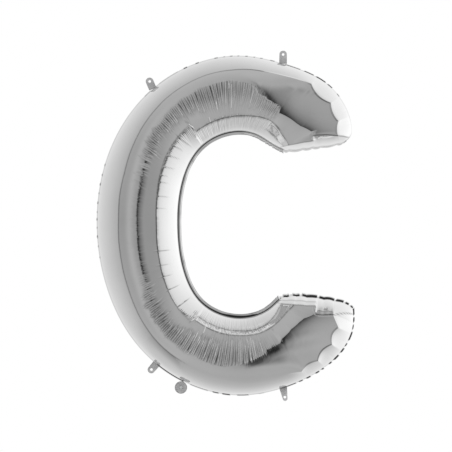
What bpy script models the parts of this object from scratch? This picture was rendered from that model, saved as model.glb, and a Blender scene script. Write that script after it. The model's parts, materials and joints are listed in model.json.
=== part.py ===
"""A silver foil balloon in the shape of a capital C, filled, seen from its front along +Y.

Two foil sheets are welded together round the rim of the letter. Filled with gas, each sheet
becomes half of a round tube that follows the letter's stroke, and the weld stays flat around it.
The seam lies in the plane Y = 0, with the front foil on its -Y side, +X to the letter's right
and +Z up. Sizes are in metres.
"""

import math

import bmesh
import bpy
import numpy as np

# Free edge of the weld, X and Z, as the filled letter has it. The outer edge runs from the
# upper end of the stroke over the top, down the left side and under to the lower end.
OUTER_RIM = (
    (0.267, 0.208),
    (0.290, 0.229),
    (0.292, 0.268),
    (0.273, 0.318),
    (0.237, 0.364),
    (0.129, 0.419),
    (0.000, 0.445),
    (-0.148, 0.412),
    (-0.269, 0.320),
    (-0.350, 0.178),
    (-0.377, 0.003),
    (-0.349, -0.168),
    (-0.275, -0.308),
    (-0.145, -0.411),
    (0.005, -0.445),
    (0.148, -0.412),
    (0.247, -0.350),
    (0.296, -0.268),
    (0.298, -0.210),
)
# The inner edge, round the open space of the letter, from the upper end to the lower one.
INNER_RIM = (
    (0.112, 0.184),
    (0.070, 0.208),
    (0.036, 0.228),
    (-0.010, 0.235),
    (-0.097, 0.196),
    (-0.141, 0.113),
    (-0.153, 0.000),
    (-0.137, -0.117),
    (-0.096, -0.192),
    (0.000, -0.230),
    (0.065, -0.211),
    (0.098, -0.180),
)
# Points of the two edges that face each other across the stroke: top, left and bottom.
FACING_POINTS = ((6, 3), (10, 6), (14, 9))
END_BULGE = (0.003, 0.015)  # how far the middle of the upper and lower end weld stands out
BULGE_LENGTH = 0.105  # over which the ends' bulge fades into the stroke

# Folds that run along the stroke, where a place is a share of the stroke's length from its
# upper end, and a share is -1 on the outer edge of the stroke and 1 on the inner one. Columns:
# place, shares of the outer fold, the ridge, the inner fold and the second inner fold.
FOLDS = (
    (0.000, -0.84, -0.40, 0.78, 0.90),
    (0.036, -0.66, 0.03, 0.71, 0.87),
    (0.060, -0.72, 0.22, 0.67, 0.86),
    (0.095, -0.76, 0.24, 0.57, 0.81),
    (0.110, -0.74, 0.10, 0.54, 0.80),
    (0.150, -0.68, -0.04, 0.56, 0.80),
    (0.200, -0.62, -0.34, 0.60, 0.84),
    (0.280, -0.58, -0.28, 0.60, 0.82),
    (0.300, -0.57, -0.24, 0.40, 0.73),
    (0.500, -0.47, 0.00, 0.49, 0.76),
    (0.700, -0.57, -0.16, 0.44, 0.66),
    (0.730, -0.58, -0.22, 0.57, 0.70),
    (0.800, -0.62, -0.29, 0.58, 0.74),
    (0.850, -0.71, -0.09, 0.58, 0.74),
    (0.873, -0.74, 0.10, 0.58, 0.73),
    (0.906, -0.78, 0.20, 0.61, 0.77),
    (0.933, -0.74, 0.29, 0.64, 0.82),
    (0.961, -0.68, 0.23, 0.66, 0.87),
    (0.978, -0.50, 0.00, 0.68, 0.89),
    (1.000, -0.47, -0.24, 0.72, 0.92),
)
# How the section departs from a half round. Columns: place, power of the section, then from 0
# to 1 how sharp the flat facet outside the ridge is, and the strip between the inner folds.
SECTIONS = (
    (0.00, 2.4, 1.0, 1.0),
    (0.10, 2.3, 1.0, 1.0),
    (0.15, 2.1, 1.0, 1.0),
    (0.20, 2.0, 0.0, 1.0),
    (0.28, 2.0, 0.0, 1.0),
    (0.30, 2.0, 0.0, 0.0),
    (0.70, 2.0, 0.0, 0.0),
    (0.73, 2.0, 0.0, 1.0),
    (0.80, 2.0, 0.0, 1.0),
    (0.85, 2.1, 1.0, 1.0),
    (0.90, 2.3, 1.0, 1.0),
    (1.00, 2.4, 1.0, 1.0),
)
STRIP_TILT = 0.85  # of the strip between the two inner folds
# Lines along the ridge of both ends, X and Z, from which their flat facets bend down.
FACET_LINES = (
    (
        (-0.060, 0.376),
        (0.005, 0.372),
        (0.045, 0.357),
        (0.072, 0.333),
        (0.101, 0.307),
        (0.130, 0.279),
        (0.158, 0.260),
        (0.186, 0.244),
        (0.250, 0.212),
    ),
    (
        (-0.060, -0.372),
        (-0.005, -0.366),
        (0.040, -0.352),
        (0.072, -0.335),
        (0.105, -0.309),
        (0.132, -0.275),
        (0.160, -0.248),
        (0.192, -0.232),
        (0.262, -0.214),
    ),
)
FACET_LINE_STEPS = 400
FACET_TOP = 0.100  # height of the facets along those lines
RIDGE_SLOPE = 0.03  # their tilt beside the line
FACET_SLOPE = 0.22  # added to it away from the line
FACET_REACH = 0.024  # distance over which most of that slope is reached
# Places of the folds across the upper and the lower end, and the radius of the arc that rises
# to them from the end weld.
END_FOLDS = (0.0170, 0.9810)
END_RADIUS = (0.046, 0.052)

OUTER_WELD = 0.005  # width of the weld that shows along the outer edge
INNER_WELD = 0.010  # along the inner edge, where it is pulled taut
END_WELD = 0.005  # across the two ends of the stroke
WELD_THICKNESS = 0.0012
WELD_UNDER_FOIL = 0.003  # how far the weld reaches in between the two sheets
END_SEAM_STEPS = 14  # stretches of the weld across an end
WALL = 0.0019  # thickness of a foil sheet, drawn far thicker than the real film
TOUCH_GAP = 0.0003  # left between pieces that touch

NOSE_ROWS = 6  # between each end weld and the fold across that end
NEAR_ROWS = 11  # from that fold to the place NEAR_END, and as many at the other end
NEAR_END = 0.11
MIDDLE_ROWS = 46
STRETCH_COLUMNS = (4, 4, 5, 2, 4)  # facets of a sheet between its edges and folds

TAB_WIDTH = 0.020
TAB_THICKNESS = 0.0012
TAB_HOLE = 0.0035  # radius of the punched hole
TAB_HOLE_FROM_TIP = 0.010
TAB_FOOT_SPLAY = 1.25  # width of the foot over the tab's width
TAB_FOOT_LENGTH = 0.004  # over which it narrows
TAB_SIDE_ROWS = 4
TAB_TIP_STEPS = 8
# Each tab's foot is the middle of its width on the outer edge, given as a direction from the
# letter's centre in degrees from +X. Lean turns the tab from straight out, anticlockwise.
# Columns: name, direction, lean, length.
TABS = (
    ("tab_upper_left", 122.6, -17.0, 0.027),
    ("tab_upper_right", 75.4, 16.0, 0.030),
    ("tab_lower_left", 238.6, -1.0, 0.026),
    ("tab_lower_right", 284.7, -8.0, 0.031),
)

NECK_DIRECTION = 250.0  # of the round inflation neck, in degrees from +X
NECK_RADIUS = 0.016
NECK_OUT = 0.0135  # from the weld's edge to the middle of the neck
NECK_LAYER = 0.0006
NECK_STEPS = 26  # round the part of its circle that stands clear of the weld
STRAW_HOLE = 0.004  # radius, in the front layer
FILM_RADIUS = 0.010
FILM_THICKNESS = 0.0004
FILM_STEPS = 24


def material(name, colour, roughness, metallic):
    """A Principled material with one colour."""
    made = bpy.data.materials.new(name)
    made.use_nodes = True
    shader = made.node_tree.nodes["Principled BSDF"]
    shader.inputs["Base Color"].default_value = (*colour, 1)
    shader.inputs["Roughness"].default_value = roughness
    shader.inputs["Metallic"].default_value = metallic
    return made


def cubic(knots, values, where):
    """A curve through the values at the knots, smooth to its second derivative."""
    knots, values, where = (np.asarray(a, float) for a in (knots, values, where))
    if values.ndim == 1:
        return cubic(knots, values[:, None], where)[:, 0]
    step = np.diff(knots)
    slope = np.diff(values, axis=0) / step[:, None]
    system = np.eye(len(knots))
    right = np.zeros_like(values)
    for i in range(1, len(knots) - 1):
        system[i, i - 1 : i + 2] = step[i - 1], 2 * (step[i - 1] + step[i]), step[i]
        right[i] = 6 * (slope[i] - slope[i - 1])
    bend = np.linalg.solve(system, right)
    piece = np.clip(np.searchsorted(knots, where, side="right") - 1, 0, len(step) - 1)
    width = step[piece][:, None]
    before = (where - knots[piece])[:, None]
    after = width - before
    return (
        (bend[piece] * after**3 + bend[piece + 1] * before**3) / (6 * width)
        + (values[piece] / width - bend[piece] * width / 6) * after
        + (values[piece + 1] / width - bend[piece + 1] * width / 6) * before
    )


def chord_lengths(points):
    """Distance along a line of points from its first one."""
    steps = np.linalg.norm(np.diff(points, axis=0), axis=1)
    return np.concatenate([[0], np.cumsum(steps)])


class Edge:
    """One edge of the letter: a smooth curve that is read by the distance along it."""

    FINE = 3000

    def __init__(self, points, facing):
        points = np.array(points)
        knots = chord_lengths(points)
        self.at = np.linspace(0, knots[-1], self.FINE)
        self.line = cubic(knots, points, self.at)
        self.along = chord_lengths(self.line)
        self.length = self.along[-1]
        marks = [0, *[knots[i] for i in facing], knots[-1]]
        self.marks = np.interp(marks, self.at, self.along)

    def read(self, distance):
        """Points at distances along the edge, and the unit normals on their left."""
        places = [np.interp(distance, self.along, self.line[:, i]) for i in (0, 1)]
        tangent = np.gradient(self.line, self.along, axis=0)
        across = [np.interp(distance, self.along, tangent[:, i]) for i in (0, 1)]
        normal = np.stack([-across[1], across[0]], axis=1)
        return np.stack(places, axis=1), normal / np.linalg.norm(normal, axis=1)[:, None]


OUTER = Edge(OUTER_RIM, [pair[0] for pair in FACING_POINTS])
INNER = Edge(INNER_RIM, [pair[1] for pair in FACING_POINTS])
MEAN_MARKS = (OUTER.marks + INNER.marks) / 2
MEAN_LENGTH = MEAN_MARKS[-1]


def stations():
    """Places of the rows along the stroke, closest where the foil leaves the end welds."""
    angles = np.linspace(0, math.pi / 2, NOSE_ROWS + 1)
    upper, lower = END_FOLDS
    return np.concatenate(
        [
            upper * (1 - np.cos(angles)),
            np.linspace(upper, NEAR_END, NEAR_ROWS + 1)[1:],
            np.linspace(NEAR_END, 1 - NEAR_END, MIDDLE_ROWS + 1)[1:],
            np.linspace(1 - NEAR_END, lower, NEAR_ROWS + 1)[1:],
            1 - (1 - lower) * (1 - np.cos(angles[-2::-1])),
        ]
    )


def edges(places, outer_in, inner_in, end_in):
    """Both edges at the stations, moved into the stroke by the widths given.

    A station's share of the mean length becomes a distance along each edge, so that the
    facing points of the two edges lie on one station.
    """
    moved = []
    for edge, inset, side in ((OUTER, outer_in, 1), (INNER, inner_in, -1)):
        distance = cubic(MEAN_MARKS, edge.marks, places * MEAN_LENGTH)
        spare = end_in * (1 - 2 * distance / edge.length)
        point, left = edge.read(distance + spare)
        moved.append(point + side * inset * left)
    return moved


def across_stroke(places, outer, inner, shares):
    """Points between the two edges, where a share is -1 on the outer and 1 on the inner one.

    shares has one row for each place. Near the ends the middle of the stroke is pushed out
    along it, so that the end welds bulge.
    """
    middle = (outer + inner)[:, None] / 2
    half = (inner - outer)[:, None] / 2
    points = middle + half * shares[..., None]
    outward = np.stack([-half[:, 0, 1], half[:, 0, 0]], axis=1)
    outward /= np.linalg.norm(outward, axis=1)[:, None]
    from_start = places * MEAN_LENGTH / BULGE_LENGTH
    from_end = (1 - places) * MEAN_LENGTH / BULGE_LENGTH
    push = END_BULGE[1] * np.clip(1 - from_end, 0, 1) ** 2
    push = push - END_BULGE[0] * np.clip(1 - from_start, 0, 1) ** 2
    push = push[:, None] * (1 - shares**4)
    return points - outward[:, None] * push[..., None]


def read_table(table, places):
    """Every column of a table but its first, read at the places, which that first one holds."""
    table = np.array(table)
    return [np.interp(places, table[:, 0], table[:, i])[:, None] for i in range(1, table.shape[1])]


def sheet_shares(places):
    """Shares of a sheet's columns, which run along its folds and close up at its edges."""
    ends = np.ones((len(places), 1))
    marks = [-ends, *read_table(FOLDS, places), ends]
    rows = [marks[0]]
    for k, count in enumerate(STRETCH_COLUMNS):
        part = np.linspace(0, 1, count + 1)[1:]
        if k == 0:
            part = 1 - np.cos(part * math.pi / 2)
        if k == len(STRETCH_COLUMNS) - 1:
            part = np.sin(part * math.pi / 2)
        rows.append(marks[k] + (marks[k + 1] - marks[k]) * part)
    return np.concatenate(rows, axis=1)


def facet_height(points, line, outward, inset):
    """Height of the flat facet at one end, from the distance to its line, less the inset.

    With d that distance, positive towards the outer edge, the height is
    FACET_TOP - RIDGE_SLOPE d - FACET_SLOPE (d - L (1 - exp(-d / L))), L being FACET_REACH, and
    on the line's other side only its first two terms.
    """
    line = np.array(line)
    knots = chord_lengths(line)
    fine = cubic(knots, line, np.linspace(0, knots[-1], FACET_LINE_STEPS))
    tangent = np.gradient(fine, axis=0)
    away = np.empty(points.shape[:2])
    for row, strip in enumerate(points):
        rel = strip[:, None] - fine
        gap = np.linalg.norm(rel, axis=2)
        nearest = np.argmin(gap, axis=1)
        ahead = tangent[nearest]
        there = rel[np.arange(len(strip)), nearest]
        turned = ahead[:, 0] * there[:, 1] - ahead[:, 1] * there[:, 0]
        away[row] = outward * np.sign(turned) * gap.min(axis=1)
    over = np.clip(away, 0, None)
    bent = over - FACET_REACH * (1 - np.exp(-over / FACET_REACH))
    return FACET_TOP - inset - RIDGE_SLOPE * away - FACET_SLOPE * bent


def section(places, points, shares, inset):
    """Height of a sheet across the stroke, with its folds but without its ends.

    The plain height is half the stroke's width times (1 - |share| ** power) ** (1 / power).
    The facets take its place outside the ridge; from the ridge the foil goes straight to the
    inner fold; a strip of one tilt follows; and both flanks fall to the edge as a root.
    """
    outer, ridge, fold, second = read_table(FOLDS, places)
    power, sharp_out, sharp_strip = read_table(SECTIONS, places)
    half = np.linalg.norm(points[:, -1] - points[:, 0], axis=1)[:, None] / 2

    def plain(where):
        return half * np.clip(1 - np.abs(where) ** power, 0, 1) ** (1 / power)

    upper = places < 0.5
    facet = np.concatenate(
        [
            facet_height(points[upper], FACET_LINES[0], 1, inset),
            facet_height(points[~upper], FACET_LINES[1], -1, inset),
        ]
    )
    facet = plain(shares) + (facet - plain(shares)) * sharp_out

    def on_facet(where):
        return np.array([np.interp(w, s, f) for w, s, f in zip(where, shares, facet)])

    at_ridge, at_outer, at_fold = on_facet(ridge), on_facet(outer), plain(fold)
    at_second = at_fold - half * STRIP_TILT * (second - fold)
    part = np.clip((shares - ridge) / (fold - ridge), 0, 1)
    inward = at_ridge + (at_fold - at_ridge) * part
    strip = at_fold - half * STRIP_TILT * (shares - fold)
    flank_out = at_outer * np.sqrt(np.clip((shares + 1) / (outer + 1), 0, 1))
    flank_in = at_second * np.sqrt(np.clip((1 - shares) / (1 - second), 0, 1))
    height = plain(shares)
    for inside, shape, sharp in (
        (shares < outer, flank_out, sharp_out),
        ((shares >= outer) & (shares <= ridge), facet, sharp_out),
        ((shares > ridge) & (shares <= fold), inward, sharp_out),
        ((shares > fold) & (shares <= second), strip, sharp_strip),
        (shares > second, flank_in, sharp_strip),
    ):
        height = np.where(inside, height + (shape - height) * sharp, height)
    return height


def end_rise(walked, places):
    """Share of the full height near the ends: a piece of an arc from each weld to its fold."""
    rise = 1
    for end, (place, radius) in enumerate(zip(END_FOLDS, END_RADIUS)):
        distance = walked if end == 0 else walked[-1] - walked
        row = np.argmin(np.abs(places - place))
        fold = distance[row]
        arc = np.sqrt(1 - (1 - np.clip(distance / fold, 0, 1) * fold / radius) ** 2)
        rise = rise * arc / np.sqrt(1 - (1 - fold / radius) ** 2)
    return rise


def foil_surface(inset):
    """X, Z and rise of a sheet's outer surface, or of its inner one, which is inset by the wall."""
    outer_in, inner_in, end_in = (w + inset for w in (OUTER_WELD, INNER_WELD, END_WELD))
    places = stations()
    shares = sheet_shares(places)
    points = across_stroke(places, *edges(places, outer_in, inner_in, end_in), shares)
    steps = np.linalg.norm(np.diff(points, axis=0), axis=2)
    walked = np.concatenate([np.zeros((1, points.shape[1])), np.cumsum(steps, axis=0)])
    return points, section(places, points, shares, inset) * end_rise(walked, places)


def new_object(name, vertices, faces, finish):
    """A mesh object with its faces turned outwards and its round parts shaded smooth."""
    mesh = bpy.data.meshes.new(name)
    mesh.from_pydata([tuple(v) for v in vertices], [], faces)
    shape = bmesh.new()
    shape.from_mesh(mesh)
    bmesh.ops.recalc_face_normals(shape, faces=shape.faces)
    bmesh.ops.triangulate(shape, faces=shape.faces)
    shape.to_mesh(mesh)
    shape.free()
    mesh.shade_smooth()
    mesh.set_sharp_from_angle(angle=math.radians(40))
    mesh.materials.append(finish)
    piece = bpy.data.objects.new(name, mesh)
    bpy.context.scene.collection.objects.link(piece)
    return piece


def grid_faces(rows, columns, start):
    """Quads of a grid of vertices that begins at the index start."""
    faces = []
    for row in range(rows - 1):
        for column in range(columns - 1):
            first = start + row * columns + column
            faces.append((first, first + 1, first + columns + 1, first + columns))
    return faces


def grid_border(rows, columns, start):
    """Indices round the border of a grid of vertices, in order."""
    top = [start + c for c in range(columns)]
    right = [start + r * columns + columns - 1 for r in range(1, rows)]
    bottom = [start + (rows - 1) * columns + c for c in range(columns - 2, -1, -1)]
    left = [start + r * columns for r in range(rows - 2, 0, -1)]
    return top + right + bottom + left


def foil_sheet(name, side, finish):
    """A sheet: its outer and inner surface, joined by a flat foot round the rim."""
    foot = WELD_THICKNESS / 2 + TOUCH_GAP
    vertices = []
    for inset in (0, WALL):
        points, rise = foil_surface(inset)
        rows, columns = rise.shape
        height = side * (foot + rise)
        vertices += np.stack([points[..., 0], height, points[..., 1]], -1).reshape(-1, 3).tolist()
    size = rows * columns
    faces = grid_faces(rows, columns, 0) + grid_faces(rows, columns, size)
    outer, inner = grid_border(rows, columns, 0), grid_border(rows, columns, size)
    for i in range(len(outer)):
        j = (i + 1) % len(outer)
        faces.append((outer[i], outer[j], inner[j], inner[i]))
    return new_object(name, vertices, faces, finish)


def ribbon(name, free_edge, inside_edge, finish):
    """A flat strip of weld between two lines of points, a touch short at both ends."""
    for line in (free_edge, inside_edge):
        for end, beside in ((0, 1), (-1, -2)):
            along = line[beside] - line[end]
            line[end] += along / np.linalg.norm(along) * TOUCH_GAP / 2
    count = len(free_edge)
    vertices = []
    for height in (-WELD_THICKNESS / 2, WELD_THICKNESS / 2):
        for line in (free_edge, inside_edge):
            vertices += [(x, height, z) for x, z in line]
    faces = []
    corners = [0, count, 3 * count, 2 * count]
    for i in range(count - 1):
        for a, b in zip(corners, corners[1:] + corners[:1]):
            faces.append((a + i, a + i + 1, b + i + 1, b + i))
    faces.append(tuple(corners))
    faces.append(tuple(c + count - 1 for c in corners))
    return new_object(name, vertices, faces, finish)


def weld_seams(finish):
    """The four stretches of the weld: outer edge, inner edge and the two ends."""
    places = stations()
    shares = np.tile(np.linspace(-1, 1, END_SEAM_STEPS + 1), (len(places), 1))
    lines = []
    for inset in (0, WELD_UNDER_FOIL):
        spread = (
            (OUTER_WELD + inset, INNER_WELD + inset, END_WELD + inset)
            if inset
            else (0, 0, 0)
        )
        points = across_stroke(places, *edges(places, *spread), shares)
        lines.append(
            {
                "outer_seam": points[:, 0],
                "inner_seam": points[:, -1],
                "upper_end_seam": points[0],
                "lower_end_seam": points[-1],
            }
        )
    free, inside = lines
    for name in free:
        ribbon(name, free[name].copy(), inside[name].copy(), finish)


def rim_place(direction):
    """The outer edge's point in a direction from the centre, and the way out from it."""
    turn = np.unwrap(np.arctan2(OUTER.line[:, 1], OUTER.line[:, 0]))
    wanted = math.radians(direction)
    distance = np.interp(wanted, turn, OUTER.along)
    point, left = OUTER.read(np.array([distance]))
    return point[0], -left[0]


def flat_plate(name, outline, hole, heights, finish):
    """A plate between two heights, with a round hole if hole gives its middle and radius.

    The hole has one point for each point of the outline, in the same direction from its
    middle. Without a hole the plate closes on a fan from its middle.
    """
    low, high = heights
    middle, radius = hole
    count = len(outline)
    inner = []
    if radius:
        away = outline - middle
        inner = middle + away / np.linalg.norm(away, axis=1)[:, None] * radius
    vertices, faces = [], []
    for height in (low, high):
        vertices += [(x, height, z) for x, z in outline]
        vertices += [(x, height, z) for x, z in inner]
    layer = count + len(inner)
    for i in range(count):
        j = (i + 1) % count
        faces.append((i, j, layer + j, layer + i))
        if radius:
            faces.append((count + i, count + j, layer + count + j, layer + count + i))
            faces.append((i, j, count + j, count + i))
            faces.append((layer + i, layer + j, layer + count + j, layer + count + i))
    if not radius:
        faces.append(tuple(range(count)))
        faces.append(tuple(range(layer, layer + count)))
    return new_object(name, vertices, faces, finish)


def hanging_tab(name, direction, lean, length, finish):
    """A punched tab on the outer edge: straight sides, a round tip and a splayed foot."""
    foot, out = rim_place(direction)
    turn = math.radians(lean)
    out = np.array(
        [
            out[0] * math.cos(turn) - out[1] * math.sin(turn),
            out[0] * math.sin(turn) + out[1] * math.cos(turn),
        ]
    )
    beside = np.array([-out[1], out[0]])
    half = TAB_WIDTH / 2
    splay = half * TAB_FOOT_SPLAY
    root = 2 * TOUCH_GAP + half * abs(math.tan(turn))
    side_rows = np.linspace(root + TAB_FOOT_LENGTH, length - half, TAB_SIDE_ROWS)
    tip = np.linspace(0, math.pi, TAB_TIP_STEPS + 1)
    shape = [(-splay, root)]
    shape += [(-half, row) for row in side_rows[:-1]]
    shape += [(-half * math.cos(a), length - half + half * math.sin(a)) for a in tip]
    shape += [(half, row) for row in side_rows[-2::-1]]
    shape += [(splay, root), (half / 2, root), (0, root), (-half / 2, root)]
    outline = np.array([foot + beside * a + out * b for a, b in shape])
    middle = foot + out * (length - TAB_HOLE_FROM_TIP)
    thick = TAB_THICKNESS / 2
    return flat_plate(name, outline, (middle, TAB_HOLE), (-thick, thick), finish)


def inflation_neck(foil, film):
    """The round neck: two foil layers, the front one holed, and the valve film between."""
    foot, out = rim_place(NECK_DIRECTION)
    beside = np.array([-out[1], out[0]])
    middle = foot + out * NECK_OUT
    lowest = math.asin((NECK_OUT - 2 * TOUCH_GAP) / NECK_RADIUS)
    turns = np.linspace(-lowest, math.pi + lowest, NECK_STEPS + 1)
    outline = np.array(
        [
            middle + NECK_RADIUS * (beside * math.cos(a) + out * math.sin(a))
            for a in turns
        ]
    )
    inner = FILM_THICKNESS / 2 + TOUCH_GAP
    outer = inner + NECK_LAYER
    flat_plate("valve_neck_front", outline, (middle, STRAW_HOLE), (-outer, -inner), foil)
    flat_plate("valve_neck_back", outline, (middle, 0), (inner, outer), foil)
    turns = np.linspace(0, 2 * math.pi, FILM_STEPS + 1)[:-1]
    disc = np.array(
        [
            middle + FILM_RADIUS * (beside * math.cos(a) + out * math.sin(a))
            for a in turns
        ]
    )
    thick = FILM_THICKNESS / 2
    flat_plate("valve_film", disc, (middle, 0), (-thick, thick), film)


def main():
    for thing in list(bpy.data.objects):
        bpy.data.objects.remove(thing, do_unlink=True)
    foil = material("silver_foil", (0.82, 0.82, 0.83), 0.08, 1.0)
    weld = material("welded_foil", (0.66, 0.66, 0.67), 0.18, 1.0)
    tab = material("tab_foil", (0.70, 0.70, 0.70), 0.30, 0.9)
    film = material("valve_film", (0.86, 0.88, 0.88), 0.35, 0.0)
    foil_sheet("front_panel", -1, foil)
    foil_sheet("back_panel", 1, foil)
    weld_seams(weld)
    for name, direction, lean, length in TABS:
        hanging_tab(name, direction, lean, length, tab)
    inflation_neck(tab, film)


main()
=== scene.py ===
"""A filled silver foil balloon in the shape of a capital C, drawn with its creases and welds.

The frame gives the plain letter. Most operators below make one group of its pieces as surfaces
worked out with numpy, one only gathers the welds and tabs, and the last one sets the studio.
The front foil faces -Y. Sizes are in metres, and angles in properties are in radians, as
Blender keeps them.

A place is a share of the stroke's length, 0 at its upper end and 1 at its lower one. A share
is the way across the stroke, -1 on the letter's outer edge and 1 on its inner one.
"""

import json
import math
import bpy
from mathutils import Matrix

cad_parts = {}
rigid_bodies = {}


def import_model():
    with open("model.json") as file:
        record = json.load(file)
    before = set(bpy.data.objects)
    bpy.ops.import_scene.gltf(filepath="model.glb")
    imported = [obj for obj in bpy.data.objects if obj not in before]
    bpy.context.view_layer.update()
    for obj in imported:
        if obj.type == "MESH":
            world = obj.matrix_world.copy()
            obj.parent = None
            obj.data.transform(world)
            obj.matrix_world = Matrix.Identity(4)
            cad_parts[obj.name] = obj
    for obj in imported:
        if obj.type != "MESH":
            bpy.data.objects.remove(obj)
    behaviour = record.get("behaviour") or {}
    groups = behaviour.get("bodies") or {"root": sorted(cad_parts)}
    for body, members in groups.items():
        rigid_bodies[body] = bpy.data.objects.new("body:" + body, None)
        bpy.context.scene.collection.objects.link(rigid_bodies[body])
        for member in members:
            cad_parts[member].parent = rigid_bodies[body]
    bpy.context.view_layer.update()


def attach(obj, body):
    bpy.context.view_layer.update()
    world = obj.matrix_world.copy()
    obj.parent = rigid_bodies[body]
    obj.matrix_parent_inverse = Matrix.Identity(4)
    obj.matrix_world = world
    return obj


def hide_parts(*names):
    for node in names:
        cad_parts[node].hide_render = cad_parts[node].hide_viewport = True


bl_info = {
    "name": "Letter foil balloon",
    "version": (1, 0, 0),
    "blender": (4, 5, 0),
    "location": "View3D > Sidebar > Balloon",
    "description": "Builds a filled foil letter with its creases, welds, tabs and studio",
    "category": "Add Mesh",
}

import bmesh
import bpy
import numpy as np
from bpy.props import FloatProperty, FloatVectorProperty, IntProperty, PointerProperty

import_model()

# Free edge of the weld, X and Z: the outer edge from the upper end of the stroke over the top
# and down to the lower end, then the inner edge the same way.
OUTER_RIM = (
    (0.267, 0.208),
    (0.290, 0.229),
    (0.292, 0.268),
    (0.273, 0.318),
    (0.237, 0.364),
    (0.129, 0.419),
    (0.000, 0.445),
    (-0.148, 0.412),
    (-0.269, 0.320),
    (-0.350, 0.178),
    (-0.377, 0.003),
    (-0.349, -0.168),
    (-0.275, -0.308),
    (-0.145, -0.411),
    (0.005, -0.445),
    (0.148, -0.412),
    (0.247, -0.350),
    (0.296, -0.268),
    (0.298, -0.210),
)
INNER_RIM = (
    (0.112, 0.184),
    (0.070, 0.208),
    (0.036, 0.228),
    (-0.010, 0.235),
    (-0.097, 0.196),
    (-0.141, 0.113),
    (-0.153, 0.000),
    (-0.137, -0.117),
    (-0.096, -0.192),
    (0.000, -0.230),
    (0.065, -0.211),
    (0.098, -0.180),
)
# Points of the outer and the inner edge that face each other, by their position in the lists.
FACING_POINTS = ((6, 3), (10, 6), (14, 9))
END_BULGE = (0.003, 0.015)  # how far the upper and the lower end bulge out along the stroke
FADE_LENGTH = 0.105  # over which that bulge fades into the stroke
NOTCH_FADE = 2.5  # how many times sooner the notches in the ends' welds fade
OUTER_WELD = 0.005  # width of the weld along each edge and across the ends
INNER_WELD = 0.010
END_WELD = 0.005

# Folds that run along the stroke. Columns: place, share of the ridge, of the inner fold and of
# the second inner fold.
FOLDS = (
    (0.000, 0.09, 0.78, 0.90),
    (0.022, 0.09, 0.74, 0.88),
    (0.032, 0.03, 0.72, 0.87),
    (0.038, 0.07, 0.71, 0.87),
    (0.055, 0.20, 0.68, 0.86),
    (0.065, 0.23, 0.66, 0.85),
    (0.104, 0.27, 0.55, 0.80),
    (0.108, 0.12, 0.54, 0.80),
    (0.114, 0.08, 0.54, 0.80),
    (0.136, 0.05, 0.55, 0.79),
    (0.140, 0.00, 0.56, 0.79),
    (0.153, -0.03, 0.58, 0.80),
    (0.160, -0.18, 0.59, 0.80),
    (0.170, -0.25, 0.60, 0.82),
    (0.200, -0.34, 0.62, 0.84),
    (0.286, -0.28, 0.62, 0.84),
    (0.291, -0.26, 0.37, 0.72),
    (0.370, -0.10, 0.38, 0.72),
    (0.500, 0.00, 0.49, 0.76),
    (0.610, -0.04, 0.45, 0.74),
    (0.690, -0.14, 0.44, 0.72),
    (0.714, -0.18, 0.45, 0.60),
    (0.719, -0.20, 0.56, 0.68),
    (0.770, -0.29, 0.56, 0.68),
    (0.800, -0.29, 0.56, 0.68),
    (0.824, -0.18, 0.56, 0.68),
    (0.850, -0.07, 0.55, 0.67),
    (0.866, 0.00, 0.55, 0.67),
    (0.873, 0.09, 0.55, 0.68),
    (0.898, 0.10, 0.58, 0.71),
    (0.906, 0.19, 0.59, 0.73),
    (0.933, 0.28, 0.64, 0.80),
    (0.953, 0.26, 0.655, 0.85),
    (0.963, 0.22, 0.65, 0.87),
    (0.974, 0.06, 0.62, 0.88),
    (0.980, 0.03, 0.60, 0.88),
    (1.000, 0.03, 0.60, 0.88),
)
# Outer fold. Columns: place, share, and the bow of the stretch that starts there, as a share.
OUTER_FOLD = (
    (0.0000, -0.84, 0.18),
    (0.0353, -0.68, 0.07),
    (0.0604, -0.73, 0.12),
    (0.0944, -0.76, 0.00),
    (0.1300, -0.70, 0.00),
    (0.2000, -0.62, 0.00),
    (0.5000, -0.47, 0.00),
    (0.8000, -0.62, 0.00),
    (0.8700, -0.74, 0.05),
    (0.9000, -0.79, 0.08),
    (0.9240, -0.76, 0.10),
    (0.9500, -0.71, 0.10),
    (0.9710, -0.64, 0.02),
    (0.9830, -0.43, 0.00),
    (1.0000, -0.47, 0.00),
)
# Smooth lines along the ridge of both ends, X and Z, from which their flat facets bend down.
FACET_LINES = (
    (
        (-0.120, 0.362),
        (-0.060, 0.376),
        (0.005, 0.372),
        (0.045, 0.357),
        (0.072, 0.333),
        (0.101, 0.307),
        (0.130, 0.279),
        (0.158, 0.259),
        (0.186, 0.240),
        (0.250, 0.202),
    ),
    (
        (-0.120, -0.356),
        (-0.060, -0.372),
        (-0.005, -0.366),
        (0.040, -0.352),
        (0.072, -0.335),
        (0.105, -0.309),
        (0.132, -0.275),
        (0.160, -0.248),
        (0.192, -0.226),
        (0.262, -0.198),
    ),
)
FACET_TOP = 0.100  # height of the facets along those lines
RIDGE_SLOPE = 0.006  # of the facets on both sides of the line
FACET_SLOPES = (0.20, 0.24)  # added to it towards the outer edge, at the upper and the lower end
FACET_REACH = 0.024  # distance over which most of that slope is reached
FACET_LINE_STEPS = 400
FACET_SPAN = 0.21  # the facets lie at places this near to an end
# How near to an end, as a change of place, the flat facets take over from the half round: first
# and last distance for the part by the ridge, for the outer flank, and for the whole facet at
# the upper end. At the lower end the whole facet changes with the flank.
RIDGE_CHANGE = (0.205, 0.115)
FLANK_CHANGE = (0.118, 0.092)
UPPER_CHANGE = (0.160, 0.088)
BY_THE_RIDGE = (0.20, 0.85)  # where that part begins and is full, from the outer fold to the ridge

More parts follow.
